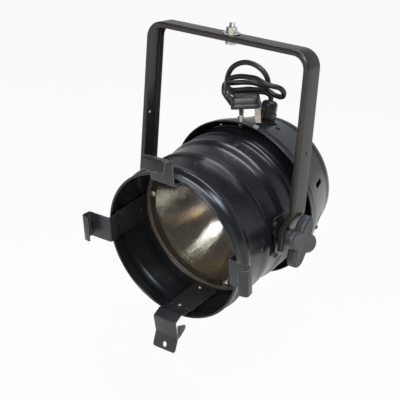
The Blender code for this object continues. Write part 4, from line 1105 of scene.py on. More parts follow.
@dataclass
class Yoke:
    """The channel strap bent to a U, with joggled legs."""

    leg_x: float = 0.130
    tab_x: float = 0.118
    face: float = 0.031
    flange: float = 0.0075
    sheet: float = 0.002
    edge_radius: float = 0.003
    edge_break: float = 0.0004
    corner_radius: float = 0.024
    joggle_top: float = 0.037
    joggle_bottom: float = 0.011
    joggle_radius: float = 0.012
    tab_below: float = 0.017
    hole_height: float = 0.120
    hole_radius: float = 0.0022
    bolt_hole: float = 0.0045

    def path(self) -> list[Vector]:
        """The outer face from the left tab's end over the web to the right tab's end."""
        points = [(0.0, 0.0), (self.leg_x, 0.0), (self.leg_x, -PIVOT_DROP + self.joggle_top),
                  (self.tab_x, -PIVOT_DROP + self.joggle_bottom),
                  (self.tab_x, -PIVOT_DROP - self.tab_below)]
        right = fillet(points, [self.corner_radius, self.joggle_radius, self.joggle_radius], 14)
        return [Vector((-point.x, point.y)) for point in reversed(right[1:])] + right

    def section(self) -> list[tuple[float, float]]:
        """Across the strap: distance along Y and depth behind the outer face."""
        half = self.face / 2
        bend = self.edge_radius
        corner = arc((half - bend, bend), (bend, bend), 0, -90, 6)
        side = [(half, self.flange)] + corner
        return side + [(-y, depth) for y, depth in reversed(side)]

    def build(self) -> None:
        """Bends the channel, drills it and paints it."""
        path = self.path()
        frames = [Matrix(((0, along.y, along.x, point.x), (1, 0, 0, 0), (0, -along.x, along.y, point.y),
                          (0, 0, 0, 1))) for point, along in zip(path, headings(path))]
        form = Form().sweep(self.section(), frames)
        form.outward(lambda middle: middle.z, lambda middle: Vector((0, 0, 1)))
        form.thicken(self.sheet).soften(self.edge_break, 2, 60.0)
        holes = Form()
        cross = Matrix.Rotation(math.pi / 2, 4, "Y")
        spots = [(Matrix.Identity(4), self.bolt_hole)]
        for side in (-1, 1):
            spots.append((Matrix.Translation((side * self.tab_x, 0, -PIVOT_DROP)) @ cross, self.bolt_hole))
            height = self.hole_height - PIVOT_DROP
            spots.append((Matrix.Translation((side * self.leg_x, 0, height)) @ cross, self.hole_radius))
        for frame, radius in spots:
            holes.cylinder(radius, 8 * self.sheet, frame)
        form.boolean(holes).piece("channel_yoke", YOKE_PAINT, Body.YOKE, ["yoke"])


@dataclass
class HangingBolt:
    """The M8 bolt through the web, with its collar and head below and its washer and nut above."""

    radius: float = 0.004
    pitch: float = 0.00125
    corners: float = 0.0075
    nut_height: float = 0.0065
    head_height: float = 0.0062
    collar_radius: float = 0.0066
    collar_height: float = 0.0050
    above_nut: float = 0.006
    washer_radius: float = 0.012
    washer_bore: float = 0.0045
    washer_thickness: float = 0.002
    web: float = 0.002
    crest_share: float = 0.985
    root_share: float = 0.87
    tip_share: float = 0.80

    def build(self) -> None:
        """Builds the bolt, its washer and its nut."""
        washer_top = GAP + self.washer_thickness
        ring = washer(GAP, washer_top, self.washer_bore, self.washer_radius, 72)
        ring.piece("bolt_washer", ZINC, Body.YOKE, ["hanging_washer"])
        nut_bottom = washer_top + GAP
        nut_top = nut_bottom + self.nut_height
        nut = hexagon(self.corners, nut_bottom, nut_top, self.radius + GAP)
        nut.piece("bolt_nut", ZINC, Body.YOKE, ["hanging_nut"])
        end = nut_top + self.above_nut
        seat = -self.web - GAP
        crest, root = self.radius * self.crest_share, self.radius * self.root_share
        profile = [(end, 0.0), (end, self.radius * self.tip_share)]
        height = end - 0.0006
        while height > nut_bottom + 0.001:
            profile += [(height, crest), (height - self.pitch / 2, root)]
            height -= self.pitch
        low = seat - self.collar_height
        groove = (seat + low) / 2
        profile += [(height, crest), (seat, crest), (seat, self.collar_radius),
                    (groove + BREAK, self.collar_radius), (groove, self.collar_radius - 0.0004),
                    (groove - BREAK, self.collar_radius), (low - 0.0002, self.collar_radius),
                    (low - 0.0002, self.radius), (low - self.head_height / 2, self.radius),
                    (low - self.head_height / 2, 0.0)]
        head = hexagon(self.corners, low - self.head_height, low)
        bolt = Form().lathe(profile, 40, upright=True).boolean(head, "UNION")
        bolt.piece("hex_bolt", ZINC, Body.YOKE, ["hanging_bolt"])


# Nose tube


@dataclass
class NoseTube:
    """The spun tube with its rolled rim, swelled collar and stepped bands."""

    wall: float = 0.001
    bead: float = 0.0018
    rim_station: float = 0.1042
    rim_radius: float = 0.107
    collar: float = 0.1052
    swell: float = 0.0028
    swell_front: float = 0.0905
    swell_rear: float = 0.073
    shoulder: float = 0.005
    flare: float = 0.0012
    hollow: float = 0.0007
    lead: float = 0.0012
    rise_from: float = 0.62
    steps: int = 20
    bands: tuple[tuple[float, float, float, float], ...] = (
        (0.0730, 0.0262, 0.1058, 0.1066), (0.0262, -0.0183, 0.1048, 0.1075),
        (-0.0183, -0.0456, 0.1052, 0.1070), (-0.0456, -0.0780, 0.1044, 0.1066))

    def outline(self) -> list[tuple[float, float]]:
        """The outer side from the rolled rim to the rear edge."""
        bead_centre = (self.rim_station - self.bead, self.rim_radius - self.bead)
        outline = arc(bead_centre, (self.bead, self.bead), -60, 180, self.steps)
        outline.append((self.swell_front + 0.004, self.collar + 0.00005))
        for i in range(self.steps + 1):
            share = i / self.steps
            base = self.collar + (self.bands[0][2] - self.collar) * share
            station = self.swell_front - (self.swell_front - self.swell_rear) * share
            outline.append((station, base + self.swell * math.sin(math.pi * share) ** 1.25))
        for index, (front, rear, front_radius, rear_radius) in enumerate(self.bands):
            if index:
                outline.append((front - GAP, front_radius + 0.00005))
                outline.append((front - self.lead, front_radius + 0.0001))
            if index + 1 == len(self.bands):
                outline += [((front + rear) / 2, (front_radius + rear_radius) / 2), (rear, rear_radius)]
                continue
            following = self.bands[index + 1][2]
            outline += [self.flared(index, i / 22) for i in range(1, 23)]
            radii = (-self.shoulder, rear_radius - following)
            outline += arc((rear + self.shoulder, following), radii, 90, 8, 10)
        return outline

    def flared(self, index: int, share: float) -> tuple[float, float]:
        """A point on the outer side of a flared band.

        Args:
            index: The band's place in the table.
            share: How far along the band, from 0 at its front to 1 at its crest.

        Returns:
            The point's station and radius.
        """
        front, rear, front_radius, rear_radius = self.bands[index]
        start, crest = front - self.lead, rear + self.shoulder + self.flare
        low = front_radius + 0.0001 - self.hollow * math.sin(math.pi * share)
        rise = max(share - self.rise_from, 0.0) / (1 - self.rise_from)
        rise = rise * rise * (3 - 2 * rise)
        return start + (crest - start) * share, low + (rear_radius - low) * rise

    def band_radius(self, station: float) -> float:
        """Outer radius without the shoulders.

        Args:
            station: Where.

        Returns:
            The radius there.
        """
        for index, (front, rear, front_radius, rear_radius) in enumerate(self.bands):
            if rear <= station <= front:
                share = min((front - station) / (front - rear - self.shoulder), 1.0)
                if index + 1 < len(self.bands):
                    return self.flared(index, share)[1]
                return front_radius + (rear_radius - front_radius) * share
        return self.collar

    def build(self) -> None:
        """Spins the tube."""
        outline = self.outline()
        inner = [(station, radius - self.wall) for station, radius in reversed(outline[self.steps:])]
        tube = Form().lathe(outline + inner)
        tube.piece("spun_tube", HOUSING, Body.HEAD, ["nose_tube"], HEAD)


# Tilt pivots


@dataclass
class Pivot:
    """One side's bracket with its screws, the washers and the knob."""

    side: Side
    plate_radius: float = 0.1078
    plate_sheet: float = 0.0014
    plate_length: float = 0.040
    plate_height: float = 0.062
    plate_corner: float = 0.009
    screw_along: float = 0.0145
    screw_up: float = 0.024
    tab_x: float = 0.118
    tab_sheet: float = 0.002
    washer_bore: float = 0.0045
    friction_radius: float = 0.0112
    washer_radius: float = 0.0105
    washer_thickness: float = 0.0016

    def plate(self) -> None:
        """The curved bracket, rounded at its corners, and its four screws."""
        outer = self.plate_radius + self.plate_sheet
        span = 2 * math.degrees(math.asin(self.plate_height / 2 / outer))
        steps = 24
        frames = [on_can(self.side.angle + span * (i / steps - 0.5), 0.0, outer) @ Matrix.Rotation(
            math.pi / 2, 4, "Z") for i in range(steps + 1)]
        half = self.plate_length / 2
        out = Vector((self.side.value, 0, 0))
        form = Form().sweep([(-half, 0.0), (half, 0.0)], frames)
        form.outward(out.dot, lambda middle: out).thicken(self.plate_sheet)
        frame = on_can(self.side.angle, 0.0, outer)
        outline = Form().block((self.plate_height, self.plate_length, 0.04), frame, self.plate_corner)
        form.boolean(outline, "INTERSECT")
        form.boolean(Form().cylinder(self.washer_bore, 0.01, frame)).soften(BREAK, 2, 60.0)
        label = self.side.label
        form.piece("tilt_bracket_" + label, HOUSING_SHEET, Body.HEAD, ["pivot_bracket_" + label], HEAD)
        turn = math.degrees(math.asin(self.screw_up / outer))
        spots = [on_can(self.side.angle + sign * turn, station, outer - 0.0001)
                 @ Matrix.Rotation(0.5 + station * 40 + sign, 4, "Z")
                 for sign in (-1, 1) for station in (self.screw_along, -self.screw_along)]
        screws = Form().add(PanScrew().form(), spots)
        screws.piece("tilt_bracket_screws_" + label, SCREW_PAINT, Body.HEAD, frame=HEAD)

    def washers(self) -> None:
        """The fibre washer inside the tab and the plated one outside it."""
        axis = PIVOT @ Matrix.Rotation(self.side.value * math.pi / 2, 4, "Y")
        inner = self.plate_radius + self.plate_sheet + GAP
        outer = self.tab_x - self.tab_sheet - GAP
        label = self.side.label
        table = (("friction_washer_", FIBRE, self.friction_radius, inner, outer),
                 ("knob_washer_", ZINC, self.washer_radius, self.tab_x + GAP,
                  self.tab_x + GAP + self.washer_thickness))
        for name, finish, radius, low, high in table:
            form = washer(low, high, self.washer_bore, radius, 64)
            form.piece("round_" + name + label, finish, Body.YOKE, [name + label], axis)

    def build(self) -> None:
        """Builds the side's pivot."""
        self.plate()
        self.washers()
        label = self.side.label
        dress(f"pivot_stud_{label}", ZINC)
        Knob(self.side).build()


@dataclass
class Knob:
    """A four-lobed clamping knob."""

    side: Side
    inner: float = 0.1202
    standoff: float = 0.0075
    thickness: float = 0.0150
    radius: float = 0.0358
    waist: float = 0.0200
    boss: float = 0.0095
    bore: float = 0.0043
    bore_depth: float = 0.0123
    rounding: float = 0.0042
    turn: float = math.radians(68.0)

    def reach(self, angle: float) -> float:
        """Distance from the middle to the knob's side at an angle."""
        lobe = (0.5 + 0.5 * math.cos(4 * angle)) ** 0.75
        return self.waist + (self.radius - self.waist) * lobe

    def ring(self, height: float, inset: float, share: float = 1.0) -> Callable[[float], Vector]:
        """The side's outline at a height, set in square to itself and then shrunk.

        Args:
            height: Its height.
            inset: How far it is set in.
            share: What is left of its size.

        Returns:
            A function from an angle to a point.
        """
        step = 0.01

        def place(angle: float) -> Vector:
            """The outline's point.

            Args:
                angle: Radians round Z.

            Returns:
                The point.
            """
            here = self.reach(angle)
            slope = (self.reach(angle + step) - self.reach(angle - step)) / (2 * step)
            out = Vector((here, -slope)).normalized()
            radial, sideways = here - inset * out.x, -inset * out.y
            return Vector((share * (radial * math.cos(angle) - sideways * math.sin(angle)),
                           share * (radial * math.sin(angle) + sideways * math.cos(angle)), height))
        return place

    def build(self) -> None:
        """Moulds the knob."""
        low = self.inner + self.standoff
        high = low + self.thickness
        corner = [(self.rounding * (1 - math.sin(a)), self.rounding * (1 - math.cos(a))) for a in quarter(6)]
        rings = [self.ring(low + BREAK, self.rounding, 0.6)]
        rings += [self.ring(low + drop, inset) for drop, inset in reversed(corner)]
        rings += [self.ring(high - drop, inset) for drop, inset in corner]
        rings += [self.ring(high - drop, self.rounding, share)
                  for drop, share in ((0.0001, 0.92), (0.0005, 0.72), (0.0008, 0.52))]
        knob = Form().stack(rings, 112)
        hub = [(self.inner, 0.0), (self.inner, self.boss - 0.0006), (self.inner + 0.0006, self.boss),
               (low + 0.0012, self.boss + 0.0006), (low + 0.004, self.boss + 0.0006), (low + 0.004, 0.0)]
        knob.boolean(Form().lathe(hub, 48, upright=True), "UNION")
        bore = [(self.inner - 0.001, 0.0), (self.inner - 0.001, self.bore),
                (self.inner + self.bore_depth, self.bore), (self.inner + self.bore_depth, 0.0)]
        knob.boolean(Form().lathe(bore, 40, upright=True))
        frame = (PIVOT @ Matrix.Rotation(self.turn, 4, "X")
                 @ Matrix.Rotation(self.side.value * math.pi / 2, 4, "Y"))
        label = self.side.label
        knob.piece("lobed_knob_" + label, KNOB_PLASTIC, Body["KNOB_" + self.side.name], ["knob_" + label],
                   frame, smooth=45.0)


# Colour-frame clips and latch


@dataclass
class ClipMaker:
    """The three fixed clips for a colour frame, and their rivets."""

    tube: NoseTube
    width: float = 0.038
    sheet: float = 0.0014
    leg_rear: float = 0.031
    neck: float = 0.100
    joggle_rear: float = 0.0925
    joggle_front: float = 0.0975
    plate: float = 0.113
    slot_radius: float = 0.134
    slot_depth: float = 0.0135
    bend: float = 0.0015
    rivet_radius: float = 0.0016
    rivet_head: float = 0.0032
    rivet_rise: float = 0.0011
    clips: tuple[tuple[str, float, float, float], ...] = (
        ("top", 90.0, 0.0050, 0.0155), ("left", 180.0, 0.0020, 0.0130), ("right", 0.0, 0.0020, 0.0130))
    rivets: dict[float, tuple[tuple[float, float], ...]] = field(default_factory=lambda: {
        90.0: ((90.0, 0.0880), (85.4, 0.0540)), 180.0: ((180.0, 0.0890), (181.5, 0.0430)),
        0.0: ((0.0, 0.0880), (1.2, 0.0470)), -90.0: ((-92.5, 0.0880), (-94.0, 0.0380))})

    @property
    def leg(self) -> float:
        """Distance of a leg's outer face from the lamp's axis."""
        facet = math.cos(math.pi / 44)
        return math.sqrt(((self.tube.collar - self.tube.wall) * facet - GAP) ** 2 - (self.width / 2) ** 2)

    def rivet_pair(self, name: str, angle: float, finish: Finish) -> None:
        """The two rivets that hold one leg to the tube.

        Args:
            name: The piece's name.
            angle: The leg's place round the can, in degrees.
            finish: The rivets' finish.
        """
        bottom = self.leg - self.sheet + 0.0001
        form = Form()
        for index, (turn, station) in enumerate(self.rivets[angle]):
            top = self.tube.band_radius(station) + (GAP if index else 0.0)
            shape = rivet(bottom, top, self.rivet_radius, self.rivet_head, self.rivet_rise, bool(index))
            form.add(shape, [on_can(turn, station, 0.0)])
        form.piece(name, finish, Body.HEAD, frame=HEAD)

    def clip(self, name: str, angle: float, flare: float, lip_length: float) -> None:
        """One fixed clip: a leg, a plate before the rim and a channel.

        Args:
            name: Its side.
            angle: Its place round the can, in degrees.
            flare: How far its channel opens outward at the front.
            lip_length: The length of the channel's lip.
        """
        outer = self.slot_radius + self.sheet
        back = self.plate - self.sheet
        lip = self.plate + self.slot_depth
        lean = flare * lip_length / self.slot_depth
        points = [(self.leg_rear, self.leg), (self.joggle_rear, self.leg), (self.joggle_front, self.neck),
                  (back, self.neck), (back, outer), (lip, outer + flare),
                  (lip + lean, outer + flare - lip_length)]
        outside = self.bend + self.sheet
        path = fillet(points, [outside, self.bend, self.bend, outside, 1.6 * outside], 7)
        form = strip(path, self.width, self.sheet, (0.0030, 0.0022))
        form.piece("channel_clip_" + name, CLIP_PAINT, Body.HEAD, ["frame_clip_" + name],
                   HEAD @ on_can(angle, 0.0, 0.0))
        self.rivet_pair("clip_rivets_" + name, angle, SCREW_PAINT)

    def build(self) -> None:
        """Builds the three clips."""
        for sizes in self.clips:
            self.clip(*sizes)


@dataclass
class Latch:
    """The sprung strip that holds the frame in, and its leg inside the tube."""

    clips: ClipMaker
    angle: float = -90.0
    width: float = 0.038
    hump: tuple[float, float] = (0.1145, 0.0962)
    catch: tuple[float, float] = (0.1272, 0.1015)
    heel: tuple[float, float] = (0.1245, 0.1268)
    tip: tuple[float, float] = (0.1338, 0.1470)
    hole: float = 0.0032
    hole_from_tip: float = 0.0075
    ear_sheet: float = 0.0012
    ear: tuple[tuple[float, float], ...] = (
        (0.0008, -0.0200), (0.0006, 0.0008), (-0.0030, -0.0004), (-0.0141, -0.0061),
        (-0.0166, -0.0108), (-0.0150, -0.0135), (-0.0060, -0.0175))

    def strip_form(self) -> Form:
        """The sprung strip with its oval hole."""
        clips = self.clips
        points = [(clips.joggle_rear + GAP, clips.leg), (clips.joggle_rear + clips.sheet, clips.leg),
                  (clips.joggle_front, clips.neck), (clips.tube.rim_station + clips.sheet, clips.neck),
                  self.hump, self.catch, self.heel, self.tip]
        outside = clips.bend + clips.sheet
        path = fillet(points, [outside, clips.bend, outside, clips.bend, clips.bend, 0.006], 6)
        form = strip(path, self.width, clips.sheet, (0.0, 0.0040), 0.00025)
        tip, heel = Vector(self.tip), Vector(self.heel)
        along = (tip - heel).normalized()
        spot = tip - along * self.hole_from_tip
        lean = math.atan2(along.y, along.x)
        frame = (Matrix.Translation((0, -spot.x, spot.y)) @ Matrix.Rotation(-lean, 4, "X")
                 @ Matrix.Scale(1.18, 4, (0, 1, 0)))
        return form.boolean(Form().cylinder(self.hole, 0.01, frame))

    def ear_form(self) -> Form:
        """The ear that closes the slot beside the frame."""
        outline = [(self.heel[0] + before, self.heel[1] + out) for before, out in self.ear]
        low = -self.width / 2 - self.ear_sheet + GAP
        form = Form()
        verts = [form.bm.verts.new((low, -s, r)) for s, r in outline]
        face = form.bm.faces.new(verts)
        raised = bmesh.ops.extrude_face_region(form.bm, geom=[face])["geom"]
        bmesh.ops.translate(form.bm, vec=(self.ear_sheet, 0, 0),
                            verts=[item for item in raised if isinstance(item, bmesh.types.BMVert)])
        form.heal()
        form.soften(0.0012, 4, 20.0, lambda edge: abs(edge.verts[0].co.x - edge.verts[1].co.x) > 1e-5)
        return form.soften(0.00025, 2, 60.0)

    def build(self) -> None:
        """Builds the latch and its riveted leg."""
        clips = self.clips
        frame = HEAD @ on_can(self.angle, 0.0, 0.0)
        leg = strip([Vector((clips.leg_rear, clips.leg)), Vector((clips.joggle_rear, clips.leg))],
                    clips.width, clips.sheet, (0.0030, 0.0))
        leg.piece("latch_root", CLIP_PAINT, Body.HEAD, ["latch_leg"], frame)
        clips.rivet_pair("latch_rivets", self.angle, ZINC)
        form = self.strip_form().boolean(self.ear_form(), "UNION")
        form.piece("sprung_latch", CLIP_PAINT, Body.LATCH, ["frame_latch"], frame)


# Rear bell


@dataclass
class Bell:
    """The spun bell with its rolled lip, vent slots and brackets."""

    tube: NoseTube
    front: float = -0.0582
    front_radius: float = 0.1173
    lip_length: float = 0.0118
    lip_radius: float = 0.1158
    crease: float = -0.137
    crease_radius: float = 0.0935
    rear: float = -0.170
    flat_radius: float = 0.048
    wall: float = 0.0012
    slots: int = 12
    slot_first: float = 16.7
    slot_station: float = -0.104
    slot_size: tuple[float, float] = (0.007, 0.026)
    brackets: tuple[float, ...] = (102.0, 222.0, 342.0)
    bracket_span: float = 26.0
    bracket_sheet: float = 0.0012
    bracket_path: tuple[float, ...] = (-0.062, -0.0765, -0.087, -0.098)
    tube_screw_station: float = -0.0705
    tube_screw_spread: float = 9.0
    skirt_screw_station: float = -0.0925
    earth_angle: float = 70.9

    @property
    def slope(self) -> float:
        """The skirt's closing angle, in radians."""
        return math.atan2(self.lip_radius - self.crease_radius, self.front - self.lip_length - self.crease)

    def skirt(self, station: float) -> float:
        """Outer radius of the skirt at a station."""
        return self.lip_radius - (self.front - self.lip_length - station) * math.tan(self.slope)

    def outline(self, inset: float) -> list[tuple[float, float]]:
        """The side from front to rear.

        Args:
            inset: How far it is set in from the outer face.

        Returns:
            Its points as stations and radii.
        """
        step = 0.0006
        lip_rear = self.front - self.lip_length
        outline = [(self.front, self.front_radius - inset),
                   (lip_rear + 0.001, self.lip_radius + 0.0001 - inset), (lip_rear, self.lip_radius - inset),
                   (lip_rear - step * 0.6, self.skirt(lip_rear) - step * 0.75 - inset),
                   (lip_rear - step * 2, self.skirt(lip_rear - step * 2) - step - inset)]
        for i in range(1, 12):
            station = lip_rear - step * 2 + (self.crease - lip_rear + step * 2) * i / 12
            outline.append((station, self.skirt(station) - inset))
        centre = (self.crease, self.flat_radius)
        radii = (self.rear - self.crease + inset, self.crease_radius - self.flat_radius - inset)
        outline += arc(centre, radii, 90, 0, 26)
        return outline + [(self.rear + inset, self.flat_radius * share) for share in (0.7, 0.4, 0.15, 0.0)]

    def shell(self) -> None:
        """Spins the bell and cuts its slots."""
        outer = self.outline(0.0)
        inner = list(reversed(self.outline(self.wall)))
        roll = arc((self.front, self.front_radius - self.wall / 2), (self.wall, self.wall), -120, 120, 12)
        bell = Form().lathe(inner[:-1] + roll + outer[1:])
        cutters = Form()
        width, length = self.slot_size
        for i in range(self.slots):
            angle = self.slot_first + i * 360 / self.slots
            frame = on_can(angle, self.slot_station, self.skirt(self.slot_station), self.slope)
            cutters.block((width, length, 0.012), frame, width * 0.42, 5)
        bell.boolean(cutters)
        bell.piece("spun_bell", HOUSING, Body.HEAD, ["rear_bell"], HEAD, smooth=28.0)

    def hold(self) -> None:
        """The three brackets and their screws."""
        tube_face = self.tube.bands[-1][3] + GAP + self.bracket_sheet
        inset = (self.wall + 2 * GAP) / math.cos(self.slope)
        front, knee, landing, rear = self.bracket_path
        path = [Vector((front, tube_face)), Vector((knee, tube_face)),
                Vector((landing, self.skirt(landing) - inset)), Vector((rear, self.skirt(rear) - inset))]
        path = fillet(path, [0.003, 0.003], 4)
        section = [(0.0, -point.x, point.y) for point in path]
        steps = 20
        for index, middle in enumerate(self.brackets, start=1):
            turns = [middle + self.bracket_span * (i / steps - 0.5) for i in range(steps + 1)]
            form = Form().sweep(section, [on_can(turn, 0.0, 0.0) for turn in turns])
            form.outward(lambda point: -point.y, lambda point: Vector((point.x, 0, point.z)))
            form.thicken(self.bracket_sheet).soften(BREAK, 2, 60.0)
            form.piece(f"bell_strap_{index}", HOUSING_SHEET, Body.HEAD, [f"bell_bracket_{index}"], HEAD)
            spots = [on_can(middle + sign * self.tube_screw_spread, self.tube_screw_station,
                            tube_face - 0.0001) @ Matrix.Rotation(index + sign, 4, "Z") for sign in (-1, 1)]
            pair = Form().add(PanScrew(length=0.004).form(), spots)
            pair.piece(f"bell_strap_screws_{index}", ZINC, Body.HEAD, frame=HEAD)
            self.skirt_screw(f"skirt_pan_screw_{index}", f"skirt_screw_{index}", middle,
                             self.skirt_screw_station, 0.0048)
        self.skirt_screw("earth_pan_screw", "earth_screw", self.earth_angle, self.slot_station, 0.006)

    def skirt_screw(self, name: str, node: str, angle: float, station: float, length: float) -> None:
        """One screw through the skirt.

        Args:
            name: The piece's name.
            node: The CAD node that it stands for.
            angle: Its place round the can, in degrees.
            station: Its place along the can.
            length: The length of its shank.
        """
        spot = on_can(angle, station, self.skirt(station) + GAP, self.slope)
        screw = PanScrew(length=length).form()
        screw.piece(name, SCREW_PAINT, Body.HEAD, [node], HEAD @ spot)

    def build(self) -> None:
        """Builds the bell and what holds it."""
        self.shell()
        self.hold()


# Lamp, seat and guard


@dataclass
class LampSeat:
    """The ring that the lamp sits against, with the mesh guard's rim and screws."""

    front: float = 0.0250
    rear: float = 0.0170
    sheet: float = 0.0012
    outer: float = 0.1035
    guard_bore: float = 0.0900
    lamp_bore: float = 0.0955
    guard_radius: float = 0.0984
    rim_outer: float = 0.1033
    rim_thickness: float = 0.0022
    screw_angles: tuple[float, ...] = (168.0, 48.0, -72.0)
    screw_radius: float = 0.0937
    washer_radius: float = 0.0046
    washer_bore: float = 0.0018
    washer_sheet: float = 0.0008
    nut_corner: float = 0.0034
    nut_height: float = 0.0020
    thread: float = 0.0016
    spring_station: float = 0.0087
    spring_radius: float = 0.1015
    spring_wire: float = 0.0011

    def build(self) -> None:
        """Builds the ring, the rim, the spring and the screws."""
        ring = [(self.front, self.guard_bore), (self.front, self.outer - 0.001),
                (self.front - 0.001, self.outer), (self.rear, self.outer), (self.rear, self.lamp_bore),
                (self.rear + self.sheet, self.lamp_bore),
                (self.rear + self.sheet, self.outer - self.sheet),
                (self.front - self.sheet, self.outer - self.sheet),
                (self.front - self.sheet, self.guard_bore)]
        Form().lathe(ring).piece("lamp_ring", HOUSING, Body.HEAD, ["lamp_seat"], HEAD)
        back = self.front + GAP
        top = back + self.rim_thickness
        rim = [(back, self.guard_radius + GAP), (back, self.rim_outer), (top - 0.0006, self.rim_outer),
               (top, self.rim_outer - 0.0006), (top, self.guard_radius + 0.0012),
               (top - 0.0008, self.guard_radius + GAP)]
        Form().lathe(rim).piece("guard_ring", WIRE_EDGE, Body.HEAD, ["guard_rim"], HEAD)
        middle = (self.spring_station, self.spring_radius)
        wire = arc(middle, (self.spring_wire, self.spring_wire), 0, 345, 24)
        Form().lathe(wire).piece("spring_ring", ZINC, Body.HEAD, ["lamp_spring_ring"], HEAD)
        face = back + 0.001 + GAP
        seat = face + self.washer_sheet
        for index, angle in enumerate(self.screw_angles, start=1):
            turn = Matrix.Rotation(math.radians(-angle), 4, "Y")
            frame = (turn @ Matrix.Translation((self.screw_radius, 0, 0))
                     @ Matrix.Rotation(math.pi / 2, 4, "X"))
            ring = [(seat, self.washer_bore), (seat, self.washer_radius - BREAK),
                    (seat - BREAK, self.washer_radius), (face, self.washer_radius), (face, self.washer_bore)]
            form = Form().lathe(ring, 40, upright=True)
            form.add(hexagon(self.nut_corner, seat, seat + self.nut_height, self.thread))
            shank = [(face + 0.0024, 0.0), (face + 0.0024, 0.0014), (face + 0.0020, self.thread),
                     (self.front - 0.003, self.thread), (self.front - 0.003, 0.0)]
            form.add(Form().lathe(shank, 28, upright=True))
            form.piece(f"guard_nut_{index}", ZINC, Body.HEAD, [f"guard_screw_{index}"], HEAD @ frame)


@dataclass
class MeshGuard:
    """The woven wire disc before the lamp."""

    station: float = 0.0258
    radius: float = 0.0984
    pitch: float = 0.0040
    wire: float = 0.00105
    wave_height: float = 0.0003
    waves: float = 40.0

    def build(self) -> None:
        """Lays hexagons over the disc and turns their edges to wire."""
        form = Form()
        side = self.pitch / math.sqrt(3)
        row_step = 1.5 * side
        rows = int(self.radius / row_step) + 1
        columns = int(self.radius / self.pitch) + 2
        for row in range(-rows, rows + 1):
            for column in range(-columns, columns + 1):
                x = (column + (0.5 if row % 2 else 0.0)) * self.pitch
                y = row * row_step
                if math.hypot(x, y) < self.radius + 0.1 * side:
                    bmesh.ops.create_circle(form.bm, cap_ends=True, segments=6, radius=side,
                                            matrix=Matrix.Translation((x, y, 0.0)))
        bmesh.ops.remove_doubles(form.bm, verts=list(form.bm.verts), dist=side * 0.1)
        for vert in form.bm.verts:
            reach = vert.co.length
            if reach > self.radius:
                vert.co *= self.radius / reach
        bmesh.ops.remove_doubles(form.bm, verts=list(form.bm.verts), dist=side * 0.12)
        bmesh.ops.dissolve_degenerate(form.bm, edges=list(form.bm.edges), dist=1e-6)
        bmesh.ops.recalc_face_normals(form.bm, faces=list(form.bm.faces))
        bmesh.ops.wireframe(form.bm, faces=list(form.bm.faces), thickness=self.wire, offset=0.0,
                            use_replace=True, use_boundary=True, use_even_offset=True)
        for vert in form.bm.verts:
            vert.co.z += self.wave_height * noise.noise(vert.co * self.waves)
        frame = Matrix.Translation((0, -self.station, 0)) @ Matrix.Rotation(math.pi / 2, 4, "X")
        form.piece("woven_guard", WIRE, Body.HEAD, ["mesh_guard"], HEAD @ frame, smooth=60.0)


@dataclass
class Lamp:
    """The sealed-beam lamp: lens, reflector and burner."""

    front: float = 0.0167
    rim_radius: float = 0.1016
    rim_thickness: float = 0.0028
    dome_radius: float = 0.0949
    dome: float = 0.0062
    lens_wall: float = 0.0028
    vertex: float = -0.064
    wall: float = 0.0022
    neck: float = 0.010

    def lens(self) -> None:
        """The domed lens with its ground rim."""
        steps = 24
        dome = [(self.front + self.dome * (1 - (i / steps) ** 2), self.dome_radius * i / steps)
                for i in range(steps + 1)]
        cup = [(station - self.lens_wall, radius * 0.97) for station, radius in reversed(dome)]
        back = self.front - self.rim_thickness
        rim = [(self.front - 0.0002, self.dome_radius + 0.001),
               (self.front - 0.0004, self.rim_radius - 0.001), (self.front - 0.0012, self.rim_radius),
               (back, self.rim_radius), (back, cup[0][1])]
        profile = dome + rim + cup[1:]
        Form().lathe(profile).piece("stippled_lens", LENS_GLASS, Body.HEAD, ["lamp_lens"], HEAD)

    def reflector(self) -> None:
        """The parabolic reflector with its flange."""
        front = self.front - self.rim_thickness - GAP
        mouth = self.rim_radius - 0.003
        focal = mouth ** 2 / (4 * (front - self.vertex))

        def side(inset: float) -> list[tuple[float, float]]:
            """One side of the wall.

            Args:
                inset: How far it is set out from the mirror's face.

            Returns:
                Its points as stations and radii.
            """
            points = []
            for i in range(41):
                radius = mouth + (self.neck - mouth) * i / 40
                slope = radius / (2 * focal)
                scale = inset / math.hypot(slope, 1.0)
                points.append((self.vertex + radius ** 2 / (4 * focal) - scale, radius + scale * slope))
            return points

        outer = side(self.wall)
        outer[-1] = (outer[-1][0], self.neck)
        inner = list(reversed(side(0.0)))
        flange = [(front, mouth), (front, self.rim_radius), (front - self.rim_thickness, self.rim_radius)]
        form = Form().lathe(flange + outer[4:] + inner[:-1])
        form.piece("parabolic_reflector", REFLECTOR, Body.HEAD, ["lamp_reflector"], HEAD)

    def build(self) -> None:
        """Builds the lamp."""
        self.lens()
        self.reflector()
        dress("lamp_capsule", CAPSULE_GLASS)
        dress("lamp_base", CERAMIC)


def dress(node: str, finish: Finish) -> bpy.types.Object:
    """Gives a CAD node, whose shape is right, its finish.

    Args:
        node: The node.
        finish: The finish.

    Returns:
        The node's object.
    """
    shown = bpy.data.objects[node]
    shown.data.materials.clear()
    shown.data.materials.append(finish.material())
    LOG.info("%s: dressed as %s", node, finish.name)
    return shown


# Gland, plug and cord


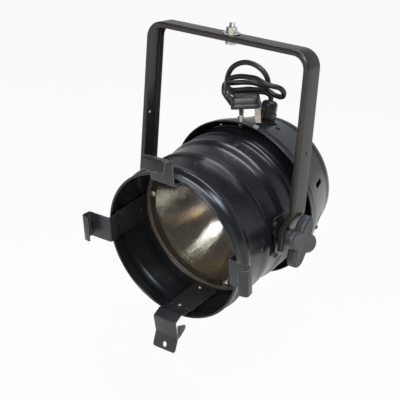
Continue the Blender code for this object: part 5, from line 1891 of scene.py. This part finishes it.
@dataclass
class Gland:
    """The cord gland on the bell: nut, neck and domed cap."""

    bell: Bell
    angle: float = 88.0
    station: float = -0.122
    nut_corner: float = 0.0125
    nut_height: float = 0.0095
    cap_radius: float = 0.012
    cap_height: float = 0.0165
    neck_radius: float = 0.008
    cord_bore: float = 0.0040
    neck_depth: float = 0.0102
    dome_from: float = 0.52
    mouth_rim: float = 0.0022
    flats: float = 1.045
    cap_turn: float = 0.35

    @property
    def frame(self) -> Matrix:
        """The gland's seat on the skirt, in the head's frame."""
        return on_can(self.angle, self.station, self.bell.skirt(self.station), self.bell.slope)

    @property
    def mouth(self) -> float:
        """Height of the cap's mouth above the seat."""
        return 2 * GAP + self.nut_height + self.cap_height

    def build(self) -> None:
        """Builds the nut and the six-sided domed cap, and dresses what is inside."""
        frame = HEAD @ self.frame
        nut = hexagon(self.nut_corner, GAP, GAP + self.nut_height, self.neck_radius + GAP, 0.05)
        nut.soften(0.0004, 2, 40.0).piece("gland_hex_nut", BLACK_PLASTIC, Body.HEAD, ["gland_nut"], frame)
        low = 2 * GAP + self.nut_height
        top = low + self.cap_height
        start = low + self.cap_height * self.dome_from
        crown = self.cord_bore + self.mouth_rim
        side = arc((start, crown), (top - start, self.cap_radius - crown), 0, 90, 12)
        profile = side + [(low + 0.0005, self.cap_radius), (low, self.cap_radius - 0.0005),
                          (low, self.neck_radius + GAP), (low + self.neck_depth, self.neck_radius + GAP),
                          (low + self.neck_depth, self.cord_bore), (top, self.cord_bore)]
        cap = Form().lathe(profile, 96, upright=True)
        middle = Matrix.Translation((0, 0, low)) @ Matrix.Rotation(self.cap_turn, 4, "Z")
        prism = Form().cylinder(self.cap_radius * self.flats, 0.08, middle, 6)
        cap.boolean(prism, "INTERSECT").soften(0.0005, 2, 32.0)
        cap.piece("gland_dome_cap", BLACK_PLASTIC, Body.HEAD, ["gland_cap"], frame)
        dress("gland_neck", BLACK_PLASTIC)
        dress("gland_locknut", ZINC)


@dataclass
class Plug:
    """The mains plug on the bell, its long side towards the front."""

    bell: Bell
    station: float = -0.077
    offset: float = 0.005
    roll: float = math.radians(12.0)
    turn: float = math.radians(30.0)
    length: float = 0.042
    breadth: float = 0.044
    depth: float = 0.018
    seam: float = 0.0066
    taper: float = 0.86
    behind_pins: float = 0.004
    pin_spread: float = 0.0222
    line_pin: tuple[float, float, float] = (0.004, 0.00635, 0.0177)
    sleeve_length: float = 0.0090
    sleeve_wall: float = 0.0002
    grip_length: float = 0.010
    grip_height: float = 0.009
    grip_lean: float = math.radians(42.0)
    cord_radius: float = 0.0037

    @property
    def frame(self) -> Matrix:
        """The plug's pin face, its Z away from the pins, in the head's frame."""
        lift = self.pin_spread / 2 * math.sin(self.roll) + self.line_pin[2] * math.cos(self.roll) + 4 * GAP
        seat = on_can(90.0, self.station, self.bell.skirt(self.station) + lift, self.bell.slope)
        return (Matrix.Translation((self.offset, 0, 0)) @ seat @ Matrix.Rotation(self.turn, 4, "Z")
                @ Matrix.Rotation(-self.roll, 4, "Y"))

    @property
    def grip_frame(self) -> Matrix:
        """The cord boot's root, its Z along the cord, in the plug's frame."""
        side = -self.behind_pins - self.length / 2 * (1 + self.taper) / 2
        slant = math.atan2(self.length / 2 * (1 - self.taper), self.depth)
        turn = Matrix.Rotation(-math.pi / 2 + slant + self.grip_lean, 4, "Y")
        return Matrix.Translation((side, 0, self.grip_height)) @ turn

    def body_ring(self, height: float, inset: float, share: float = 1.0) -> Callable[[float], Vector]:
        """A rounded oblong around the body.

        Args:
            height: Its height above the pins' face.
            inset: How far it is set in from the body's side.
            share: What is left of its size.

        Returns:
            A function from an angle to a point.
        """
        taper = 1 + (self.taper - 1) * height / self.depth
        half_x = (self.length / 2 * taper - inset) * share
        half_y = (self.breadth / 2 * taper - inset) * share
        power = 2 / 7

        def place(angle: float) -> Vector:
            """The oblong's point.

            Args:
                angle: Radians round Z.

            Returns:
                The point.
            """
            x, y = math.cos(angle), math.sin(angle)
            return Vector((-self.behind_pins + half_x * math.copysign(abs(x) ** power, x),
                           half_y * math.copysign(abs(y) ** power, y), height))
        return place

    def build(self) -> list[bpy.types.Object]:
        """Moulds the body, the boot and the sleeves.

        Returns:
            The pieces that go with the cord.
        """
        seam, top = self.seam, self.depth
        sizes = [(0.0, 0.003, 0.5), (0.0, 0.0016), (0.0003, 0.0006), (0.0012, 0.0), (seam - 0.0010, 0.0),
                 (seam - 0.0003, 0.0002), (seam, 0.0009), (seam + 0.0007, 0.0009), (seam + 0.0010, 0.0003),
                 (seam + 0.0018, 0.0001), (top - 0.0035, 0.0003), (top - 0.0018, 0.0008),
                 (top - 0.0006, 0.0018), (top - 0.0001, 0.0032), (top, 0.005), (top, 0.005, 0.5)]
        place = HEAD @ self.frame
        body = Form().stack([self.body_ring(*row) for row in sizes], 96)
        shell = body.piece("plug_shell", BLACK_PLASTIC, Body.HEAD, ["plug_body"], place, smooth=40.0)
        profile = [(self.grip_length + 0.0022, self.cord_radius + 0.0002),
                   (self.grip_length + 0.0022, self.cord_radius + 0.0008),
                   (self.grip_length, self.cord_radius + 0.0011)]
        ribs = 4
        for i in range(ribs):
            height = self.grip_length * (1 - (i + 0.5) / ribs)
            radius = self.cord_radius + 0.0009 + 0.0011 * (i + 0.5) / ribs
            profile += [(height + 0.0008, radius + 0.0001), (height + 0.0003, radius - 0.0006),
                        (height - 0.0003, radius - 0.0006), (height - 0.0008, radius + 0.0002)]
        profile += [(-0.005, 0.0056), (-0.005, self.cord_radius + 0.0002)]
        boot = Form().lathe(profile, 48, upright=True)
        pieces = [shell, boot.piece("plug_boot", BLACK_PLASTIC, Body.HEAD, frame=place @ self.grip_frame)]
        for name, side in (("live", -1), ("neutral", 1)):
            width, breadth, _ = (size + 2 * self.sleeve_wall for size in self.line_pin)
            spot = Matrix.Translation((-self.pin_spread / 2, side * self.pin_spread / 2, -0.0046))
            sleeve = Form().block((width, breadth, self.sleeve_length), spot, 0.0007, 3)
            pieces.append(sleeve.piece("plug_sleeve_" + name, BLACK_PLASTIC, Body.HEAD, frame=place))
            pieces.append(dress(f"plug_{name}_pin", PLATED_PIN))
        return pieces + [dress("plug_earth_pin", PLATED_PIN)]


@dataclass
class MainsCord:
    """The round mains cord, looped above the bell from the gland to the plug."""

    gland: Gland
    plug: Plug
    radius: float = 0.0037
    spacing: float = 0.0024
    route: tuple[Point, ...] = (
        (0.001, 0.127, 0.136), (-0.008, 0.119, 0.139), (-0.020, 0.112, 0.138), (-0.035, 0.107, 0.134),
        (-0.047, 0.106, 0.1355), (-0.053, 0.107, 0.144), (-0.052, 0.107, 0.156), (-0.045, 0.107, 0.170),
        (-0.033, 0.107, 0.180), (-0.018, 0.107, 0.185), (-0.004, 0.107, 0.184), (0.007, 0.108, 0.178),
        (0.0135, 0.1095, 0.168), (0.0145, 0.110, 0.158), (0.008, 0.109, 0.1495), (-0.0025, 0.1075, 0.1475),
        (-0.016, 0.106, 0.146), (-0.029, 0.102, 0.1435), (-0.040, 0.0985, 0.1425), (-0.0465, 0.0975, 0.147),
        (-0.0465, 0.098, 0.154), (-0.040, 0.099, 0.160), (-0.028, 0.1015, 0.164), (-0.014, 0.101, 0.1665),
        (0.003, 0.099, 0.168), (0.018, 0.096, 0.1655), (0.028, 0.100, 0.162), (0.035, 0.108, 0.1575),
        (0.037, 0.115, 0.149), (0.032, 0.119, 0.140), (0.020, 0.120, 0.139), (0.0095, 0.119, 0.144),
        (0.000, 0.117, 0.150), (-0.008, 0.1115, 0.1545), (-0.017, 0.1045, 0.1565), (-0.0255, 0.0975, 0.157),
        (-0.0315, 0.091, 0.1575), (-0.0345, 0.0835, 0.159), (-0.0335, 0.075, 0.1605),
        (-0.0302, 0.0685, 0.1590))

    def points(self) -> list[Vector]:
        """The centreline from inside the gland's cap to the plug's boot, in the row frame."""
        frame = self.gland.frame
        top = frame @ Vector((0, 0, self.gland.mouth))
        inward = frame.to_3x3() @ Vector((0, 0, -1))
        start = top + inward * (self.gland.cap_height * 0.2)
        leaving = top - inward * (self.gland.cap_height * 0.3)
        boot = self.plug.frame @ self.plug.grip_frame
        ends = [boot @ Vector((0, 0, self.plug.grip_length + reach)) for reach in (0.0050, 0.0014)]
        route = [start, top, leaving] + [Vector(point) for point in self.route] + ends
        return [HEAD @ point for point in smooth(route, self.spacing)]

    def build(self, pieces: list[bpy.types.Object]) -> None:
        """Args:
            pieces: What is on its end; not used.
        """
        points = self.points()
        length = sum((b - a).length for a, b in zip(points, points[1:]))
        curve = bpy.data.curves.new("mains_cord", "CURVE")
        curve.dimensions = "3D"
        curve.bevel_depth = self.radius
        curve.bevel_resolution = 5
        curve.use_fill_caps = True
        spline = curve.splines.new("POLY")
        spline.points.add(len(points) - 1)
        for target, point in zip(spline.points, points):
            target.co = (*point, 1.0)
        curve.materials.append(CORD_RUBBER.material())
        cord = bpy.data.objects.new("mains_cord", curve)
        bpy.context.scene.collection.objects.link(cord)
        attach(cord, Body.HEAD.value)
        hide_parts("cord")
        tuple(points[0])
        2 * self.radius
        LOG.info("mains_cord: %.1f mm along its middle", 1000 * length)


def smooth(route: Sequence[Vector], spacing: float) -> list[Vector]:
    """Evenly spaced points on a centripetal curve through a route.

    Args:
        route: Points that the curve passes through.
        spacing: Distance between the points returned.

    Returns:
        The curve's points.
    """
    ends = [2 * route[0] - route[1]] + list(route) + [2 * route[-1] - route[-2]]
    dense: list[Vector] = []
    for four in zip(ends, ends[1:], ends[2:], ends[3:]):
        knots = [0.0]
        for a, b in zip(four, four[1:]):
            knots.append(knots[-1] + math.sqrt((b - a).length))
        for i in range(16):
            t = knots[1] + (knots[2] - knots[1]) * i / 16
            level = list(four)
            for depth in (1, 2, 3):
                for j in range(4 - depth):
                    low, high = (knots[1], knots[2]) if depth == 3 else (knots[j], knots[j + depth])
                    level[j] = level[j].lerp(level[j + 1], (t - low) / (high - low))
            dense.append(level[0])
    dense.append(route[-1])
    lengths = [0.0]
    for a, b in zip(dense, dense[1:]):
        lengths.append(lengths[-1] + (b - a).length)
    count = max(2, round(lengths[-1] / spacing))
    points = []
    index = 0
    for i in range(count + 1):
        target = lengths[-1] * i / count
        while index < len(dense) - 2 and lengths[index + 1] < target:
            index += 1
        share = (target - lengths[index]) / (lengths[index + 1] - lengths[index])
        points.append(dense[index].lerp(dense[index + 1], share))
    return points


def dress_wiring() -> None:
    """Finishes the socket, the terminal block and the leads inside the bell."""
    for node, finish in (("lamp_socket", CERAMIC), ("terminal_block", CERAMIC), ("lamp_lead_left", SLEEVE),
                         ("lamp_lead_right", SLEEVE), ("inner_cord", CORD_RUBBER)):
        dress(node, finish)


# Studio


@dataclass(frozen=True)
class SoftBox:
    """One soft lamp that faces the object: its size in metres and its power in watts."""

    name: str
    place: Point
    size: tuple[float, float]
    power: float
    colour: Colour

    def hang(self, aim: Point) -> None:
        """Hangs the lamp.

        Args:
            aim: The point that it faces.
        """
        data = bpy.data.lights.new(self.name, "AREA")
        data.shape = "RECTANGLE"
        data.size, data.size_y = self.size
        data.energy = self.power
        data.color = self.colour
        light = bpy.data.objects.new(self.name, data)
        light.location = self.place
        light.rotation_mode = "QUATERNION"
        light.rotation_quaternion = (Vector(aim) - Vector(self.place)).to_track_quat("-Z", "Y")
        bpy.context.scene.collection.objects.link(light)


@dataclass
class Studio:
    """The camera, the lights, the pale floor and the white surround."""

    azimuth: float = 35.178
    elevation: float = 19.523
    roll: float = 4.163
    distance: float = 1.5578
    target: Point = (-0.0310, 0.0, -0.2397)
    film: float = 36.0
    focal_share: float = 1114.98 / 400.0
    floor_drop: float = -0.62
    floor_half: float = 6.0
    floor_white: float = 0.94
    white: Colour = (1.0, 1.0, 1.0)
    room: Colour = (0.93, 0.96, 1.0)
    room_level: float = 0.10
    backdrop_level: float = 0.42
    aim: Point = (0.0, 0.0, -0.25)
    boxes: tuple[SoftBox, ...] = (
        SoftBox("window", (0.95, -0.75, 1.2), (0.85, 0.50), 22.0, (0.72, 0.86, 1.0)),
        SoftBox("skylight", (0.08, 0.47, 1.15), (1.50, 0.30), 15.0, (0.90, 0.95, 1.0)),
        SoftBox("fill", (-1.3, -1.2, 0.2), (1.0, 1.0), 2.5, (1.0, 0.97, 0.93)),
        SoftBox("front", (0.42, -1.85, 0.85), (0.80, 0.80), 26.0, (1.0, 0.98, 0.95)),
        SoftBox("warm", (1.55, -1.45, -0.35), (0.40, 0.50), 3.0, (1.0, 0.70, 0.36)))

    def camera(self) -> None:
        """Places the camera."""
        a, e, r = (math.radians(x) for x in (self.azimuth, self.elevation, self.roll))
        back = Vector((math.sin(a) * math.cos(e), -math.cos(a) * math.cos(e), math.sin(e)))
        right = Vector((math.cos(a), math.sin(a), 0.0))
        up = back.cross(right)
        turned = math.cos(r) * right + math.sin(r) * up
        above = back.cross(turned)
        data = bpy.data.cameras.new("camera")
        data.sensor_width = self.film
        data.lens = self.film * self.focal_share
        data.clip_start, data.clip_end = 0.05, 50.0
        camera = bpy.data.objects.new("camera", data)
        place = Vector(self.target) + back * self.distance
        camera.matrix_world = Matrix.Translation(place) @ Matrix((turned, above, back)).transposed().to_4x4()
        bpy.context.scene.collection.objects.link(camera)
        bpy.context.scene.camera = camera

    def floor(self) -> None:
        """A pale floor that shows white and keeps the shadow."""
        bm = bmesh.new()
        bmesh.ops.create_grid(bm, x_segments=1, y_segments=1, size=self.floor_half,
                              matrix=Matrix.Translation((0, 0, self.floor_drop)))
        mesh = bpy.data.meshes.new("floor")
        bm.to_mesh(mesh)
        bm.free()
        graph = Graph("pale_floor")
        graph.set(Base_Color=(0.86, 0.86, 0.86), Roughness=0.9, Specular_IOR_Level=0.0)
        camera, glossy, clear = (graph.node("ShaderNodeLightPath", None, None, f"Is {ray} Ray")
                                 for ray in ("Camera", "Glossy", "Transmission"))
        white = graph.node("ShaderNodeEmission", None, {"Color": self.white, "Strength": 1.0})
        seen = camera.larger(glossy).larger(clear) * self.floor_white
        graph.shade(graph.node("ShaderNodeMixShader", None, {0: seen, 1: graph.surface, 2: white}))
        mesh.materials.append(graph.material)
        floor = bpy.data.objects.new("floor", mesh)
        bpy.context.scene.collection.objects.link(floor)

    def world(self) -> None:
        """White behind the object, and a soft grey room for its light and gloss."""
        world = bpy.data.worlds.new("surround")
        bpy.context.scene.world = world
        tree = Tree(world, "ShaderNodeOutputWorld")
        _, behind, above = tree.parts(tree.node("ShaderNodeTexCoord", None, None, "Generated"))
        backdrop = behind.ramp(0.05, 0.75) * above.ramp(0.72, 0.30)
        level = backdrop * self.backdrop_level + self.room_level
        room = tree.node("ShaderNodeBackground", None, {"Color": self.room, "Strength": level})
        white = tree.node("ShaderNodeBackground", None, {"Color": self.white})
        camera = tree.node("ShaderNodeLightPath", None, None, "Is Camera Ray")
        tree.shade(tree.node("ShaderNodeMixShader", None, {0: camera, 1: room, 2: white}))

    def build(self) -> None:
        """Sets the whole studio."""
        bpy.context.scene.view_settings.view_transform = "Standard"
        self.camera()
        self.world()
        self.floor()
        for box in self.boxes:
            box.hang(self.aim)


def clear_start_scene() -> None:
    """Removes what a new file holds."""
    for obj in list(bpy.data.objects):
        bpy.data.objects.remove(obj, do_unlink=True)


def main() -> None:
    """Loads the frame and builds every sub-assembly around it."""
    logging.basicConfig(level=logging.INFO, format="%(name)s %(message)s")
    clear_start_scene()
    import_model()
    tube = NoseTube()
    bell = Bell(tube)
    gland = Gland(bell)
    plug = Plug(bell)
    Studio().build()
    MainsCord(gland, plug).build(plug.build())
    gland.build()
    Yoke().build()
    HangingBolt().build()
    tube.build()
    for side in Side:
        Pivot(side).build()
    clips = ClipMaker(tube)
    clips.build()
    Latch(clips).build()
    bell.build()
    LampSeat().build()
    MeshGuard().build()
    Lamp().build()
    dress_wiring()


if __name__ == "__main__":
    main()
